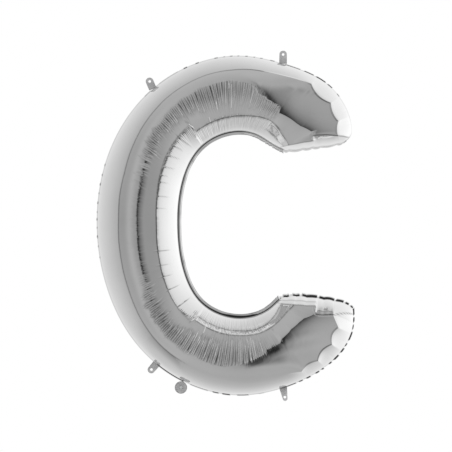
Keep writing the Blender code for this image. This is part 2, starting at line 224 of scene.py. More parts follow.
# How the stroke's section departs from a half round. Columns: place, power of the outer and of
# the inner side, then from 0 to 1 how sharp the inner facet and the inner strip are, the power
# by which the inner facet curves down, and the strip's tilt at its start and at its end.
SECTIONS = (
    (0.000, 3.0, 2.4, 1.0, 1.0, 1.15, 1.20, 1.20),
    (0.075, 3.0, 2.4, 1.0, 1.0, 1.15, 1.20, 1.30),
    (0.102, 2.6, 2.3, 1.0, 1.0, 1.20, 1.25, 1.40),
    (0.108, 2.5, 2.3, 0.9, 1.0, 1.80, 1.25, 1.40),
    (0.130, 2.4, 2.2, 0.8, 1.0, 2.00, 1.50, 1.70),
    (0.160, 2.2, 2.2, 0.8, 1.0, 2.20, 1.50, 1.70),
    (0.200, 2.0, 2.2, 0.8, 1.0, 2.20, 1.50, 1.70),
    (0.285, 2.0, 2.1, 0.6, 1.0, 2.20, 1.50, 1.70),
    (0.292, 2.0, 2.0, 0.5, 0.2, 2.20, 1.00, 1.00),
    (0.370, 2.0, 2.0, 0.0, 0.0, 2.20, 1.00, 1.00),
    (0.610, 2.0, 2.0, 0.0, 0.0, 2.20, 1.05, 0.95),
    (0.714, 2.0, 2.0, 0.5, 0.2, 2.20, 1.05, 0.95),
    (0.720, 2.0, 2.2, 0.7, 1.0, 2.20, 1.35, 1.25),
    (0.800, 2.0, 2.2, 0.8, 1.0, 2.20, 1.35, 1.25),
    (0.850, 2.2, 2.2, 0.8, 1.0, 2.20, 1.35, 1.25),
    (0.870, 2.4, 2.3, 0.9, 1.0, 1.80, 1.35, 1.25),
    (0.900, 2.6, 2.3, 0.9, 1.0, 1.40, 1.35, 1.25),
    (0.925, 3.0, 2.4, 1.0, 1.0, 1.15, 1.05, 0.95),
    (1.000, 3.0, 2.4, 1.0, 1.0, 1.15, 1.05, 0.95),
)
# How far the crown of the round stroke lies towards the outer edge. Columns: place, share.
CROWN = (
    (0.00, 0.00),
    (0.20, -0.04),
    (0.31, -0.09),
    (0.36, -0.07),
    (0.43, 0.00),
    (0.59, 0.00),
    (0.68, -0.07),
    (0.80, -0.03),
    (1.00, 0.00),
)
# Fold across each end. Columns: its place, that place's change with the share, and the radius
# of the arc up to it, on the outer side of the crease, the same on the inner side, the share of
# the crease, and where a second line lies on the inner side, as a share of the way to the fold.
END_FOLDS = (
    (0.0270, 0.0174, 0.042, 0.0168, 0.0063, 0.046, 0.06, 0.0),
    (0.9762, -0.0175, 0.050, 0.9891, -0.0131, 0.045, 0.025, 0.52),
)
CREASE_HALF = 0.01  # half the width of that crease, as a share
# Shares at which the weld across the upper and the lower end is drawn in, how far, and the
# height between them that stays in place.
END_NOTCHES = ((-1.0, -0.77, -0.24, 0.04, 0.36, 0.82, 1.0), (-1.0, -0.46, -0.18, 0.28, 0.56, 0.80, 1.0))
NOTCH_DEPTH = 0.0022
NOTCH_LEVEL = 0.6


def cubic(knots, values, where):
    """A curve through the values at the knots, smooth to its second derivative."""
    knots, values, where = (np.asarray(a, float) for a in (knots, values, where))
    if values.ndim == 1:
        return cubic(knots, values[:, None], where)[:, 0]
    step = np.diff(knots)
    slope = np.diff(values, axis=0) / step[:, None]
    system = np.eye(len(knots))
    right = np.zeros_like(values)
    for i in range(1, len(knots) - 1):
        system[i, i - 1 : i + 2] = step[i - 1], 2 * (step[i - 1] + step[i]), step[i]
        right[i] = 6 * (slope[i] - slope[i - 1])
    bend = np.linalg.solve(system, right)
    piece = np.clip(np.searchsorted(knots, where, side="right") - 1, 0, len(step) - 1)
    width = step[piece][:, None]
    before = (where - knots[piece])[:, None]
    after = width - before
    return (
        (bend[piece] * after**3 + bend[piece + 1] * before**3) / (6 * width)
        + (values[piece] / width - bend[piece] * width / 6) * after
        + (values[piece + 1] / width - bend[piece + 1] * width / 6) * before
    )


def chord_lengths(points):
    """Distance along a line of points from its first one."""
    steps = np.linalg.norm(np.diff(points, axis=0), axis=1)
    return np.concatenate([[0], np.cumsum(steps)])


class Edge:
    """One edge of the letter: a smooth curve that is read by the distance along it."""

    FINE = 3000

    def __init__(self, points, facing):
        points = np.array(points)
        knots = chord_lengths(points)
        self.at = np.linspace(0, knots[-1], self.FINE)
        self.line = cubic(knots, points, self.at)
        self.along = chord_lengths(self.line)
        self.length = self.along[-1]
        marks = [0, *[knots[i] for i in facing], knots[-1]]
        self.marks = np.interp(marks, self.at, self.along)

    def read(self, distance):
        """Points at distances along the edge, and the unit normals on their left."""
        places = [np.interp(distance, self.along, self.line[:, i]) for i in (0, 1)]
        tangent = np.gradient(self.line, self.along, axis=0)
        across = [np.interp(distance, self.along, tangent[:, i]) for i in (0, 1)]
        normal = np.stack([-across[1], across[0]], axis=1)
        return np.stack(places, axis=1), normal / np.linalg.norm(normal, axis=1)[:, None]


OUTER = Edge(OUTER_RIM, [pair[0] for pair in FACING_POINTS])
INNER = Edge(INNER_RIM, [pair[1] for pair in FACING_POINTS])
MEAN_MARKS = (OUTER.marks + INNER.marks) / 2
MEAN_LENGTH = MEAN_MARKS[-1]


def edge_distance(edge, places):
    """Distance along an edge for places of the stroke, so that facing points share a place."""
    return cubic(MEAN_MARKS, edge.marks, places * MEAN_LENGTH)


def edges(places, outer_in, inner_in, end_in):
    """Both edges at the places, moved into the stroke by the widths given."""
    moved = []
    for edge, inset, side in ((OUTER, outer_in, 1), (INNER, inner_in, -1)):
        distance = edge_distance(edge, places)
        spare = end_in * (1 - 2 * distance / edge.length)
        point, left = edge.read(distance + spare)
        moved.append(point + side * inset * left)
    return moved


def across_stroke(places, outer, inner, shares):
    """Points between the two edges. shares is one row for all places, or one row for each.

    Point = middle of the stroke + half its width times the share, and near the ends the middle
    is pushed out along the stroke by END_BULGE (1 - share ** 4), less at the notches.
    """
    shares = np.broadcast_to(shares, (len(places), np.shape(shares)[-1]))
    middle = (outer + inner)[:, None] / 2
    half = (inner - outer)[:, None] / 2
    points = middle + half * shares[..., None]
    outward = np.stack([-half[:, 0, 1], half[:, 0, 0]], axis=1)
    outward /= np.linalg.norm(outward, axis=1)[:, None]
    push = 0
    for way, from_end, bulge, notches in zip((-1, 1), (places, 1 - places), END_BULGE, END_NOTCHES):
        faded = (from_end * MEAN_LENGTH / FADE_LENGTH)[:, None]
        push = push + way * bulge * np.clip(1 - faded, 0, 1) ** 2 * (1 - shares**4)
        drawn = NOTCH_DEPTH * (lobes(shares, notches) - NOTCH_LEVEL)
        push = push + way * np.clip(1 - NOTCH_FADE * faded, 0, 1) * drawn
    return points - outward[:, None] * push[..., None]


BELL_REACH = 4  # widths from its middle past which a bell is taken as 0


def bell(value, width):
    """exp(-(value / width) ** 2)"""
    return np.exp(-((value / width) ** 2))


def half_width(points):
    """Half the width of each row of a grid, as a column."""
    return np.linalg.norm(points[:, -1] - points[:, 0], axis=1)[:, None] / 2


def walked_lengths(points):
    """Distance along each column of a grid from its first row."""
    steps = np.linalg.norm(np.diff(points, axis=0), axis=2)
    return np.concatenate([np.zeros((1, points.shape[1])), np.cumsum(steps, axis=0)])


def at_places(wanted, places, grid):
    """Each column of a grid, read at a column of wanted places."""
    columns = zip(wanted.T, grid.T)
    return np.stack([np.interp(there, places, column) for there, column in columns], axis=1)


def along_stroke(places, values):
    """Values that stand evenly along the stroke, read at the places, as a column."""
    return np.interp(places, np.linspace(0, 1, len(values)), values)[:, None]


def smooth(low, high, value):
    """0 at low and 1 at high, with an S-shaped change between and level beyond them."""
    part = np.clip((value - low) / (high - low), 0, 1)
    return part * part * (3 - 2 * part)


ARCH_POWER = 0.8


def lobes(value, corners):
    """sin(pi * way) ** ARCH_POWER over the way between two corners: 1 half way and 0 at both."""
    corners = np.sort(corners)
    index = np.clip(np.searchsorted(corners, value, side="right") - 1, 0, len(corners) - 2)
    part = (value - corners[index]) / (corners[index + 1] - corners[index])
    return np.sin(np.pi * np.clip(part, 0, 1)) ** ARCH_POWER


# Rows of the sheets and welds. Columns: first and last place of a stretch, rows in it.
ROW_STRETCHES = (
    (0.02, 0.10, 120),
    (0.10, 0.41, 620),
    (0.41, 0.59, 180),
    (0.59, 0.90, 620),
    (0.90, 0.98, 120),
)
END_ROWS = 41  # before the first stretch and after the last one


def stroke_rows():
    """Places of the rows: close in the ends and in the creased arcs, wider in the left side."""
    turns = np.linspace(0, math.pi / 2, END_ROWS)
    start = ROW_STRETCHES[0][0] * (1 - np.cos(turns))
    even = [np.linspace(first, last, count + 1)[1:] for first, last, count in ROW_STRETCHES]
    return np.concatenate([start, *even, 1 - start[::-1][1:]])


ROWS = stroke_rows()
# Columns of a sheet in the stretches between outer edge, outer fold, ridge, the two inner folds
# and inner edge: shares past the stretch's start that have one, the even ones, and shares
# before its end.
STRETCHES = (
    ((), 9, (0.014,)),
    ((0.012, 0.026, 0.045), 9, (0.012,)),
    ((0.012,), 13, (0.030, 0.014)),
    ((0.014,), 4, (0.014,)),
    ((0.014,), 9, ()),
)
NARROW = 0.12  # stretches narrower than this have those shares drawn together


def read_table(table, places):
    """Every column of a table but its first, read at the places, which that first one holds."""
    table = np.array(table)
    return [np.interp(places, table[:, 0], table[:, i])[:, None] for i in range(1, table.shape[1])]


def fold_lines(places):
    """Shares of the outer fold, the ridge and the two inner folds. The outer one is bowed."""
    outer, _ = read_table(OUTER_FOLD, places)
    corners = np.array(OUTER_FOLD)
    stretch = np.clip(np.searchsorted(corners[:, 0], places, side="right") - 1, 0, len(corners) - 2)
    outer = outer + (corners[stretch, 2] * lobes(places, corners[:, 0]))[:, None]
    return outer, *read_table(FOLDS, places)


def sheet_shares(places):
    """Shares of a sheet's columns: they run along the folds, and are closer by folds and edges."""
    ends = np.ones((len(places), 1))
    marks = [-ends, *fold_lines(places), ends]
    rows = [marks[0]]
    for k, (after, count, before) in enumerate(STRETCHES):
        start, stop = marks[k], marks[k + 1]
        squeeze = np.clip((stop - start) / NARROW, 0, 1)
        rows += [start + squeeze * share for share in after]
        low = start + squeeze * max(after, default=0)
        high = stop - squeeze * max(before, default=0)
        part = np.linspace(0, 1, count + 1)[1:]
        if k == 0:
            part = 1 - np.cos(part * math.pi / 2)
        if k == len(STRETCHES) - 1:
            part = np.sin(part * math.pi / 2)
        rows.append(low + (high - low) * part)
        rows += [stop - squeeze * share for share in before[1:]]
        if before:
            rows.append(stop)
    return np.concatenate(rows, axis=1)


def half_round(shares, crown, out_power, in_power):
    """Height of the plain stroke over half its width: (1 - |s| ** power) ** (1 / power).

    s is the share moved by the crown, which leaves both edges where they are, and the power is
    another one on the outer and on the inner side.
    """
    moved = shares - crown * (1 - shares**2)
    power = np.where(moved < 0, out_power, in_power)
    return np.clip(1 - np.abs(moved) ** power, 0, 1) ** (1 / power)


def facet_height(points, line, outward, slope):
    """Height of the flat facet at one end, from the distance to its line.

    With d that distance, positive towards the outer edge, the height is
    FACET_TOP - RIDGE_SLOPE d - slope (d - L (1 - exp(-d / L))), L being FACET_REACH, and on
    the line's other side only its first two terms.
    """
    line = np.array(line)
    knots = chord_lengths(line)
    fine = cubic(knots, line, np.linspace(0, knots[-1], FACET_LINE_STEPS))
    tangent = np.gradient(fine, axis=0)
    away = np.empty(points.shape[:2])
    for row, row_points in enumerate(points):
        offsets = row_points[:, None] - fine
        gaps = (offsets**2).sum(axis=2)
        nearest = np.argmin(gaps, axis=1)
        ahead = tangent[nearest]
        there = offsets[np.arange(len(nearest)), nearest]
        turned = ahead[:, 0] * there[:, 1] - ahead[:, 1] * there[:, 0]
        away[row] = outward * np.sign(turned) * np.sqrt(gaps.min(axis=1))
    over = np.clip(away, 0, None)
    bent = over - FACET_REACH * (1 - np.exp(-over / FACET_REACH))
    return FACET_TOP - RIDGE_SLOPE * away - slope * bent


def end_facets(places, points):
    """Height of the flat facets at both ends, and far above the stroke between them."""
    height = np.ones(points.shape[:2])
    ends = ((places < FACET_SPAN, 1), (places > 1 - FACET_SPAN, -1))
    for (rows, outward), line, slope in zip(ends, FACET_LINES, FACET_SLOPES):
        height[rows] = facet_height(points[rows], line, outward, slope)
    return height


def section(places, shares, points, half):
    """Height of the stroke over half its width, with its folds.

    From edge to edge there are: a flank that falls from the outer fold as the root of the way
    left; the flat facet up to the ridge; a facet from the ridge to the inner fold that falls by
    a power; a strip whose tilt goes from one value to another; and a flank as the first. Each
    is mixed with the half round, the outer ones near the ends and the inner ones by SECTIONS.
    """
    outer, ridge, fold, second = fold_lines(places)
    out_power, in_power, sharp_in, sharp_strip, curve, tilt, last_tilt = read_table(SECTIONS, places)
    given = (read_table(CROWN, places)[0], out_power, in_power)
    round_top = half_round(shares, *given)
    from_end = np.minimum(places, 1 - places)[:, None]
    at_flanks = smooth(*FLANK_CHANGE, from_end)
    whole = np.where(places[:, None] < 0.5, smooth(*UPPER_CHANGE, from_end), at_flanks)
    begin, full = (outer + part * (ridge - outer) for part in BY_THE_RIDGE)
    flattened = smooth(*RIDGE_CHANGE, from_end) * (whole + (1 - whole) * smooth(begin, full, shares))
    facet = round_top + (end_facets(places, points) / half - round_top) * flattened

    def on_facet(where):
        return np.stack([np.interp(w, s, f) for w, s, f in zip(where, shares, facet)])

    at_outer, at_ridge = on_facet(outer), on_facet(ridge)
    at_fold = half_round(fold, *given)
    width = second - fold
    at_second = at_fold - (tilt + last_tilt) / 2 * width
    part = np.clip((shares - ridge) / (fold - ridge), 0, 1)
    inward = at_ridge + (at_fold - at_ridge) * part**curve
    over = np.clip(shares - fold, 0, width)
    strip = at_fold - tilt * over - (last_tilt - tilt) * over**2 / (2 * width)
    flank_out = at_outer * np.sqrt(np.clip((shares + 1) / (outer + 1), 0, 1))
    flank_in = at_second * np.sqrt(np.clip((1 - shares) / (1 - second), 0, 1))
    height = round_top
    for inside, shape, sharp in (
        (shares <= outer, flank_out, at_flanks),
        ((shares > outer) & (shares <= ridge), facet, 1),
        ((shares > ridge) & (shares <= fold), inward, sharp_in),
        ((shares > fold) & (shares <= second), strip, sharp_strip),
        (shares > second, flank_in, sharp_strip),
    ):
        height = np.where(inside, height + (shape - height) * sharp, height)
    return height


def end_folds(walked, places, shares):
    """For each end: distances from its weld, those of its fold and second line, and the radius."""
    for end, row in enumerate(END_FOLDS):
        out_place, out_change, out_radius, in_place, in_change, in_radius, crease, second = row
        side = smooth(crease - CREASE_HALF, crease + CREASE_HALF, shares)
        place = out_place + out_change * shares
        place = place + (in_place + in_change * shares - place) * side
        radius = out_radius + (in_radius - out_radius) * side
        distance, fold = walked, at_places(place, places, walked)
        if end == 1:
            distance, fold = walked[-1] - walked, walked[-1] - fold
        yield distance, fold, fold * (1 + (second - 1) * side), radius


def end_rise(folds):
    """Share of the full height near the ends: a piece of an arc from each weld to its fold."""
    rise = 1
    for distance, fold, _, radius in folds:
        arc = np.sqrt(1 - (1 - np.clip(distance / fold, 0, 1) * fold / radius) ** 2)
        rise = rise * arc / np.sqrt(1 - (1 - fold / radius) ** 2)
    return rise


# Beads along the folds, which make them catch the dark of the tent's gap. Columns: place, height
# on the outer fold and on the two inner folds.
BEADS = (
    (0.000, 0.0006, 0.0006, 0.0005),
    (0.090, 0.0008, 0.0009, 0.0008),
    (0.104, 0.0000, 0.0009, 0.0008),
    (0.150, 0.0000, 0.0010, 0.0008),
    (0.286, 0.0000, 0.0009, 0.0006),
    (0.294, 0.0000, 0.0000, 0.0000),
    (0.712, 0.0000, 0.0000, 0.0000),
    (0.722, 0.0000, 0.0010, 0.0010),
    (0.904, 0.0000, 0.0010, 0.0010),
    (0.915, 0.0008, 0.0010, 0.0010),
    (1.000, 0.0006, 0.0006, 0.0005),
)
BEAD_WIDTH = 0.0015
END_BEAD = 0.0007  # height of the bead on the folds across the ends


def along_folds(places, shares, half, table, width):
    """For the outer fold and both inner ones: a table's value * exp(-(distance / width) ** 2)."""
    outer, _, fold, second = fold_lines(places)
    for line, value in zip((outer, fold, second), read_table(table, places)):
        yield value * bell((shares - line) * half, width)


# Painted shade along the folds. Columns: place, shade on the outer fold and on the two
# inner folds.
FOLD_SHADES = (
    (0.000, 0.50, 0.60, 0.40),
    (0.090, 0.60, 0.80, 0.50),
    (0.110, 0.00, 0.80, 0.20),
    (0.140, 0.00, 1.50, 0.00),
    (0.286, 0.00, 1.50, 0.00),
    (0.294, 0.00, 0.60, 0.00),
    (0.340, 0.00, 0.80, 0.00),
    (0.420, 0.00, 1.00, 0.00),
    (0.600, 0.00, 1.00, 0.00),
    (0.700, 0.00, 0.30, 0.00),
    (0.712, 0.00, 0.30, 0.00),
    (0.722, 0.00, 0.60, 0.90),
    (0.880, 0.00, 0.80, 0.90),
    (0.904, 0.00, 0.80, 0.80),
    (0.915, 0.55, 0.80, 0.80),
    (0.960, 0.55, 0.70, 0.60),
    (1.000, 0.40, 0.50, 0.40),
)
FOLD_SHADE_WIDTH = 0.0015
END_FOLD_SHADE = 0.5
SHADE_STOP = (0.95, 1.05)  # where the shades stop, over the distance of an end's fold
GATHERS = 330  # random values along the stroke that the inner folds' painted shade goes through
GATHER_SHADES = (0.35, 1.15)  # their limits


def painted_fold_shade(places, points, shares, generator):
    """Painted shade of each point: shade * exp(-(distance from the fold / width) ** 2).

    Along the inner folds the shade comes and goes at random, as the foil's gathers do, and the
    shades along the stroke end at the folds across its ends.
    """
    shades = along_folds(places, shares, half_width(points), FOLD_SHADES, FOLD_SHADE_WIDTH)
    at_outer, at_inner, at_second_inner = shades
    gathers = along_stroke(places, generator.uniform(*GATHER_SHADES, GATHERS))
    total = at_outer + gathers * (at_inner + at_second_inner)
    for distance, at_fold, at_second, _ in end_folds(walked_lengths(points), places, shares):
        total *= smooth(*SHADE_STOP, distance / at_fold)
        for line in (at_fold, at_second):
            total += END_FOLD_SHADE * bell(distance - line, FOLD_SHADE_WIDTH)
    return total


FULL_RISE = 0.03  # height over the seam from which beads and creases have their full height


def sheet_rise(places, points, shares):
    """Height of a smooth sheet over the seam, with its folds."""
    half = half_width(points)
    folds = list(end_folds(walked_lengths(points), places, shares))
    height = half * section(places, shares, points, half)
    height += sum(along_folds(places, shares, half, BEADS, BEAD_WIDTH))
    height *= end_rise(folds)
    for distance, fold, second, _ in folds:
        for line in (fold, second):
            bead = END_BEAD * bell(distance - line, BEAD_WIDTH)
            height += bead * np.clip(height / FULL_RISE, 0, 1)
    return height


def gap_noise(generator, start, stop, spacing, jitter):
    """Places from start to stop at about the spacing, each moved at random."""
    count = max(2, int(round((stop - start) / spacing)))
    even = np.linspace(start, stop, count)
    return even + generator.uniform(-jitter, jitter, count) * (stop - start) / count


# The fine creases across the stroke. Columns: place, first and last share, depth.
COMB = (
    (0.100, 0.30, 0.50, 0.00),
    (0.104, 0.27, 0.50, 0.60),
    (0.112, 0.16, 0.50, 1.00),
    (0.130, 0.13, 0.48, 0.90),
    (0.140, 0.04, 0.47, 0.90),
    (0.152, -0.01, 0.44, 0.90),
    (0.168, -0.21, 0.40, 0.90),
    (0.200, -0.33, 0.36, 1.00),
    (0.260, -0.32, 0.24, 0.85),
    (0.300, -0.26, 0.06, 1.10),
    (0.340, -0.20, 0.04, 1.35),
    (0.380, -0.15, 0.02, 1.20),
    (0.415, -0.11, 0.02, 0.70),
    (0.440, -0.08, 0.04, 0.25),
    (0.590, -0.08, 0.04, 0.25),
    (0.610, -0.12, 0.04, 1.00),
    (0.650, -0.18, 0.04, 1.65),
    (0.700, -0.26, 0.08, 1.70),
    (0.730, -0.29, 0.24, 1.15),
    (0.770, -0.28, 0.40, 1.00),
    (0.820, -0.19, 0.44, 1.00),
    (0.850, -0.10, 0.46, 1.00),
    (0.868, 0.02, 0.46, 0.80),
    (0.885, 0.12, 0.46, 0.30),
    (0.900, 0.20, 0.44, 0.00),
)
# Fine creases in the steep inner strip. Columns: place, first and last share, depth.
STRIP_COMB = (
    (0.090, 0.66, 0.90, 0.00),
    (0.120, 0.57, 0.92, 0.70),
    (0.160, 0.60, 0.88, 1.10),
    (0.240, 0.62, 0.88, 1.10),
    (0.286, 0.62, 0.86, 0.80),
    (0.296, 0.42, 0.62, 0.20),
    (0.340, 0.40, 0.56, 0.08),
    (0.400, 0.44, 0.56, 0.00),
    (0.620, 0.46, 0.56, 0.00),
    (0.700, 0.44, 0.62, 0.08),
    (0.718, 0.50, 0.70, 0.50),
    (0.730, 0.62, 0.84, 0.70),
    (0.800, 0.62, 0.88, 0.80),
    (0.875, 0.62, 0.92, 0.80),
    (0.890, 0.62, 0.92, 0.30),
    (0.910, 0.66, 0.92, 0.00),
)
# Single creases. Columns: X and Z of one end, of the other, width, depth: minus for a groove.
FRONT_CREASES = (
    (-0.140, 0.265, -0.117, 0.244, 0.0020, 0.0020),
    (0.051, 0.298, 0.035, 0.259, 0.0016, 0.0016),
    (-0.084, 0.285, -0.078, 0.264, 0.0014, 0.0012),
    (-0.025, 0.285, -0.022, 0.264, 0.0014, 0.0010),
    (0.009, 0.283, 0.009, 0.268, 0.0012, 0.0008),
    (0.186, 0.242, 0.187, 0.216, 0.0016, 0.0020),
    (-0.086, -0.246, -0.099, -0.282, 0.0016, 0.0018),
    (-0.052, -0.252, -0.056, -0.285, 0.0016, 0.0014),
    (-0.012, -0.261, -0.009, -0.287, 0.0016, 0.0012),
    (0.014, -0.266, 0.019, -0.295, 0.0014, 0.0010),
    (0.038, -0.256, 0.045, -0.282, 0.0016, 0.0014),
    (0.070, -0.252, 0.084, -0.269, 0.0016, 0.0014),
    (-0.061, -0.311, -0.071, -0.355, 0.0016, 0.0014),
    (-0.092, -0.330, -0.104, -0.352, 0.0014, 0.0012),
    (-0.131, -0.248, -0.105, -0.225, 0.0030, 0.0030),
    (-0.235, -0.318, -0.165, -0.380, 0.0070, -0.0020),
    (0.076, -0.332, 0.200, -0.306, 0.0060, 0.0007),
    (0.100, -0.306, 0.190, -0.278, 0.0050, 0.0006),
    (-0.010, -0.372, 0.095, -0.356, 0.0060, 0.0006),
    (0.193, -0.205, 0.193, -0.229, 0.0016, 0.0018),
    (0.240, -0.196, 0.238, -0.226, 0.0015, 0.0014),
)
# Creases with painted shade along them, in the same columns.
SHADE_PAINTED_CREASES = (
    (0.108, 0.358, 0.190, 0.343, 0.0026, 0.0004),
    (-0.164, 0.231, -0.130, 0.207, 0.0012, 0.0009),
    (-0.176, 0.208, -0.152, 0.196, 0.0012, 0.0009),
    (-0.187, 0.181, -0.160, 0.173, 0.0012, 0.0009),
    (-0.197, 0.151, -0.172, 0.147, 0.0012, 0.0009),
    (-0.206, 0.130, -0.190, 0.128, 0.0012, 0.0007),
    (-0.212, 0.113, -0.190, 0.110, 0.0012, 0.0009),
    (-0.214, 0.076, -0.188, 0.074, 0.0012, 0.0008),
    (-0.216, 0.045, -0.196, 0.044, 0.0012, 0.0006),
    (-0.220, -0.067, -0.186, -0.064, 0.0014, 0.0010),
    (-0.214, -0.104, -0.188, -0.101, 0.0012, 0.0008),
    (-0.206, -0.134, -0.180, -0.128, 0.0012, 0.0009),
    (-0.188, -0.168, -0.162, -0.156, 0.0014, 0.0010),
    (-0.160, -0.210, -0.134, -0.190, 0.0016, 0.0010),
)
# Fringes of short creases across a fold. Columns: X and Z of the first and of the last crease's
# middle, how many, half their length along X and Z.
FRINGES = (
    (0.193, 0.231, 0.243, 0.231, 9, 0.0003, 0.0070),
    (0.197, -0.221, 0.236, -0.221, 7, 0.0003, 0.0100),
)
FRINGE_WIDTH = 0.0016
FRINGE_DEPTH = 0.0007
CREASE_PAINTED_SHADE = 0.45  # painted shade of such a crease that is as deep as a fringe's


def front_shade_painted_creases():
    """The creases with painted shade along them and those of the fringes."""
    made = list(SHADE_PAINTED_CREASES)
    for x0, z0, x1, z1, count, reach_x, reach_z in FRINGES:
        for x, z in zip(np.linspace(x0, x1, count), np.linspace(z0, z1, count)):
            ends = (x - reach_x, z - reach_z, x + reach_x, z + reach_z)
            made.append((*ends, FRINGE_WIDTH, FRINGE_DEPTH))
    return made


# Shallow dents. Columns: X, Z, radius, depth.
DENTS = ((-0.136, -0.279, 0.012, 0.0016), (-0.092, -0.298, 0.010, 0.0014), (-0.068, -0.303, 0.008, 0.0010))


TUFT_LENGTH = 0.026  # of the tufts that the fine creases stand in, as a change of place
TUFT_REACH = 0.07  # by which the middle crease of a tuft is longer than its last, as a share
# Limits of the random painted shade of each tuft.
TUFT_SHADES = (0.5, 1.5)
TUFT_JITTER = 0.5  # how far a tuft's corner strays, over the tuft's length
# How far the fine creases stray at random: their middles over the spacing, their first share in
# the arcs and what is added to that in the left side, their last share, their lean, and the
# limits of their depth and width over the plain ones.
CREASE_JITTER = 0.22
FIRST_STRAY = (0.010, 0.04)
LAST_STRAY = 0.06
LEAN_STRAY = 0.0012
DEPTH_RANGE = (0.7, 1.15)
WIDTH_RANGE = (0.85, 1.2)
SHORTEST = 0.05  # crease that is made, as a change of share
SHALLOWEST = 1e-6  # crease that is made
LEAN_REACH = 0.3  # change of share over which a crease leans by that stray
ARC_PLACES = 0.3  # the creases of the arcs, which end on the ridge, lie past this from the middle
LEFT_SIDE = (0.28, 0.36)  # distances from an end between which the left side begins
FIRST_FADE = (-0.01, 0.03)  # changes of share over which a crease fades in at its first share
LAST_FADE = (-0.12, 0.12)  # and fades out at its last one
# Painted shade beside a fine crease, darkest at a part of its way.
DARKEST_PART = 0.4  # of a crease's way from its outer end
DARK_SPREAD = 0.25  # half the length of the dark stretch, in the same measure
DARK_FLOOR, DARK_PEAK, DARK_FULL = 0.35, 0.8, 1.8  # painted shade along a crease, and the sum that is full


def drawn_creases(table, spacing, width, depth, seed):
    """Fine creases drawn at random about the table's, one by one along the stroke.

    Gives each one's place, first and last share, lean, width and depth, and the strength of the
    painted shade beside it. Their outer ends stand in tufts, each an arch of a half sine, and end
    on the ridge in the arcs.
    """
    generator = np.random.default_rng(seed)
    table = np.array(table)
    start, stop = table[0, 0], table[-1, 0]
    middles = gap_noise(generator, start, stop, spacing / MEAN_LENGTH, CREASE_JITTER)
    first, last, strength = (np.interp(middles, table[:, 0], table[:, i]) for i in (1, 2, 3))
    tufts = gap_noise(generator, start, stop, TUFT_LENGTH, TUFT_JITTER)
    first = first + TUFT_REACH * (0.5 - lobes(middles, tufts))
    darkness = strength**2 * np.interp(middles, tufts, generator.uniform(*TUFT_SHADES, len(tufts)))
    from_middle = np.abs(middles - 0.5)
    floor = np.where(from_middle > ARC_PLACES, fold_lines(middles)[1][:, 0], -1)
    stray = FIRST_STRAY[0] + FIRST_STRAY[1] * smooth(*LEFT_SIDE, 0.5 - from_middle)
    for place, low, far, lowest, high, strong, dark in zip(
        middles, first, stray, floor, last, strength, darkness
    ):
        low = max(low + generator.normal(0, far), lowest)
        high += generator.normal(0, LAST_STRAY)
        lean = generator.normal(0, LEAN_STRAY)
        deep = depth * strong * generator.uniform(*DEPTH_RANGE)
        wide = width * generator.uniform(*WIDTH_RANGE)
        if deep >= SHALLOWEST and high - low >= SHORTEST:
            yield place, low, high, lean, wide, deep, dark


def comb_creases(points, places, shares, table, spacing, width, depth, seed):
    """Creases that run across the stroke, added up.

    Each is a ridge: depth * exp(-(distance along the stroke / width) ** 2), faded at both of
    its ends. Also gives the painted shade between them, from 0 to 1.
    """
    walked = walked_lengths(points)
    total, crests, field = np.zeros((3, *shares.shape))
    for place, low, high, lean, wide, deep, dark in drawn_creases(table, spacing, width, depth, seed):
        reach = BELL_REACH * (wide + spacing) / MEAN_LENGTH
        rows = slice(*np.searchsorted(places, (place - reach, place + reach)))
        across = shares[rows]
        line = place + lean * (across - (low + high) / 2) / LEAN_REACH
        away = walked[rows] - at_places(line, places, walked)
        fade = smooth(low + FIRST_FADE[0], low + FIRST_FADE[1], across)
        fade *= 1 - smooth(high + LAST_FADE[0], high + LAST_FADE[1], across)
        crest = bell(away, wide) * fade
        total[rows] += deep * crest
        crests[rows] += crest
        part = (across - low) / (high - low)
        darker = dark * fade * (DARK_FLOOR + DARK_PEAK * bell(part - DARKEST_PART, DARK_SPREAD))
        field[rows] += darker * bell(away, spacing)
    return total, np.clip(field / DARK_FULL, 0, 1) * np.clip(1 - crests, 0, 1)


def line_creases(points, table):
    """Single creases: depth * exp(-(distance from the line / width) ** 2), faded at its ends.

    The fade takes a quarter of the line's length before and after each of its ends.
    """
    total = np.zeros(points.shape[:2])
    for x0, z0, x1, z1, width, depth in table:
        start, stop = np.array([x0, z0]), np.array([x1, z1])
        along = stop - start
        length = np.linalg.norm(along)
        along = along / length
        offset = points - start
        run = offset @ along
        away = offset @ np.array([-along[1], along[0]])
        quarter = length / 4
        fade = smooth(-quarter, quarter, run)
        fade *= 1 - smooth(length - quarter, length + quarter, run)
        total += depth * bell(away, width) * fade
    return total


def dents(points, table):
    """Round dents: -depth * exp(-(distance from the middle / radius) ** 2)."""
    total = np.zeros(points.shape[:2])
    for x, z, radius, depth in table:
        away = np.linalg.norm(points - np.array([x, z]), axis=2)
        total -= depth * bell(away, radius)
    return total


LOBE_DEPTH = 0.0034
LOBE_ARCH, LOBE_FLANK = 0.6, 0.7  # powers of a lobe's arch along the edge and of its bell
LOBE_FADE = (0.085, 0.11)  # distances from an end, as a change of place, over which lobes fade


def lobe_relief(places, shares):
    """Puffed lobes on the outer flank of both ends, with a valley at each corner of the fold.

    Height = depth * (arch - 1) * sin(pi * root of the way from the fold to the edge) to a
    power, where the arch is 0 at the corners and 1 between them.
    """
    corners = [row[0] for row in OUTER_FOLD]
    outer = fold_lines(places)[0]
    arch = lobes(places, np.array(corners))[:, None] ** LOBE_ARCH
    near_end = (1 - smooth(*LOBE_FADE, np.minimum(places, 1 - places)))[:, None]
    way = np.clip((outer - shares) / (outer + 1), 0, 1)
    return -LOBE_DEPTH * (1 - arch) * near_end * np.sin(np.pi * np.sqrt(way)) ** LOBE_FLANK


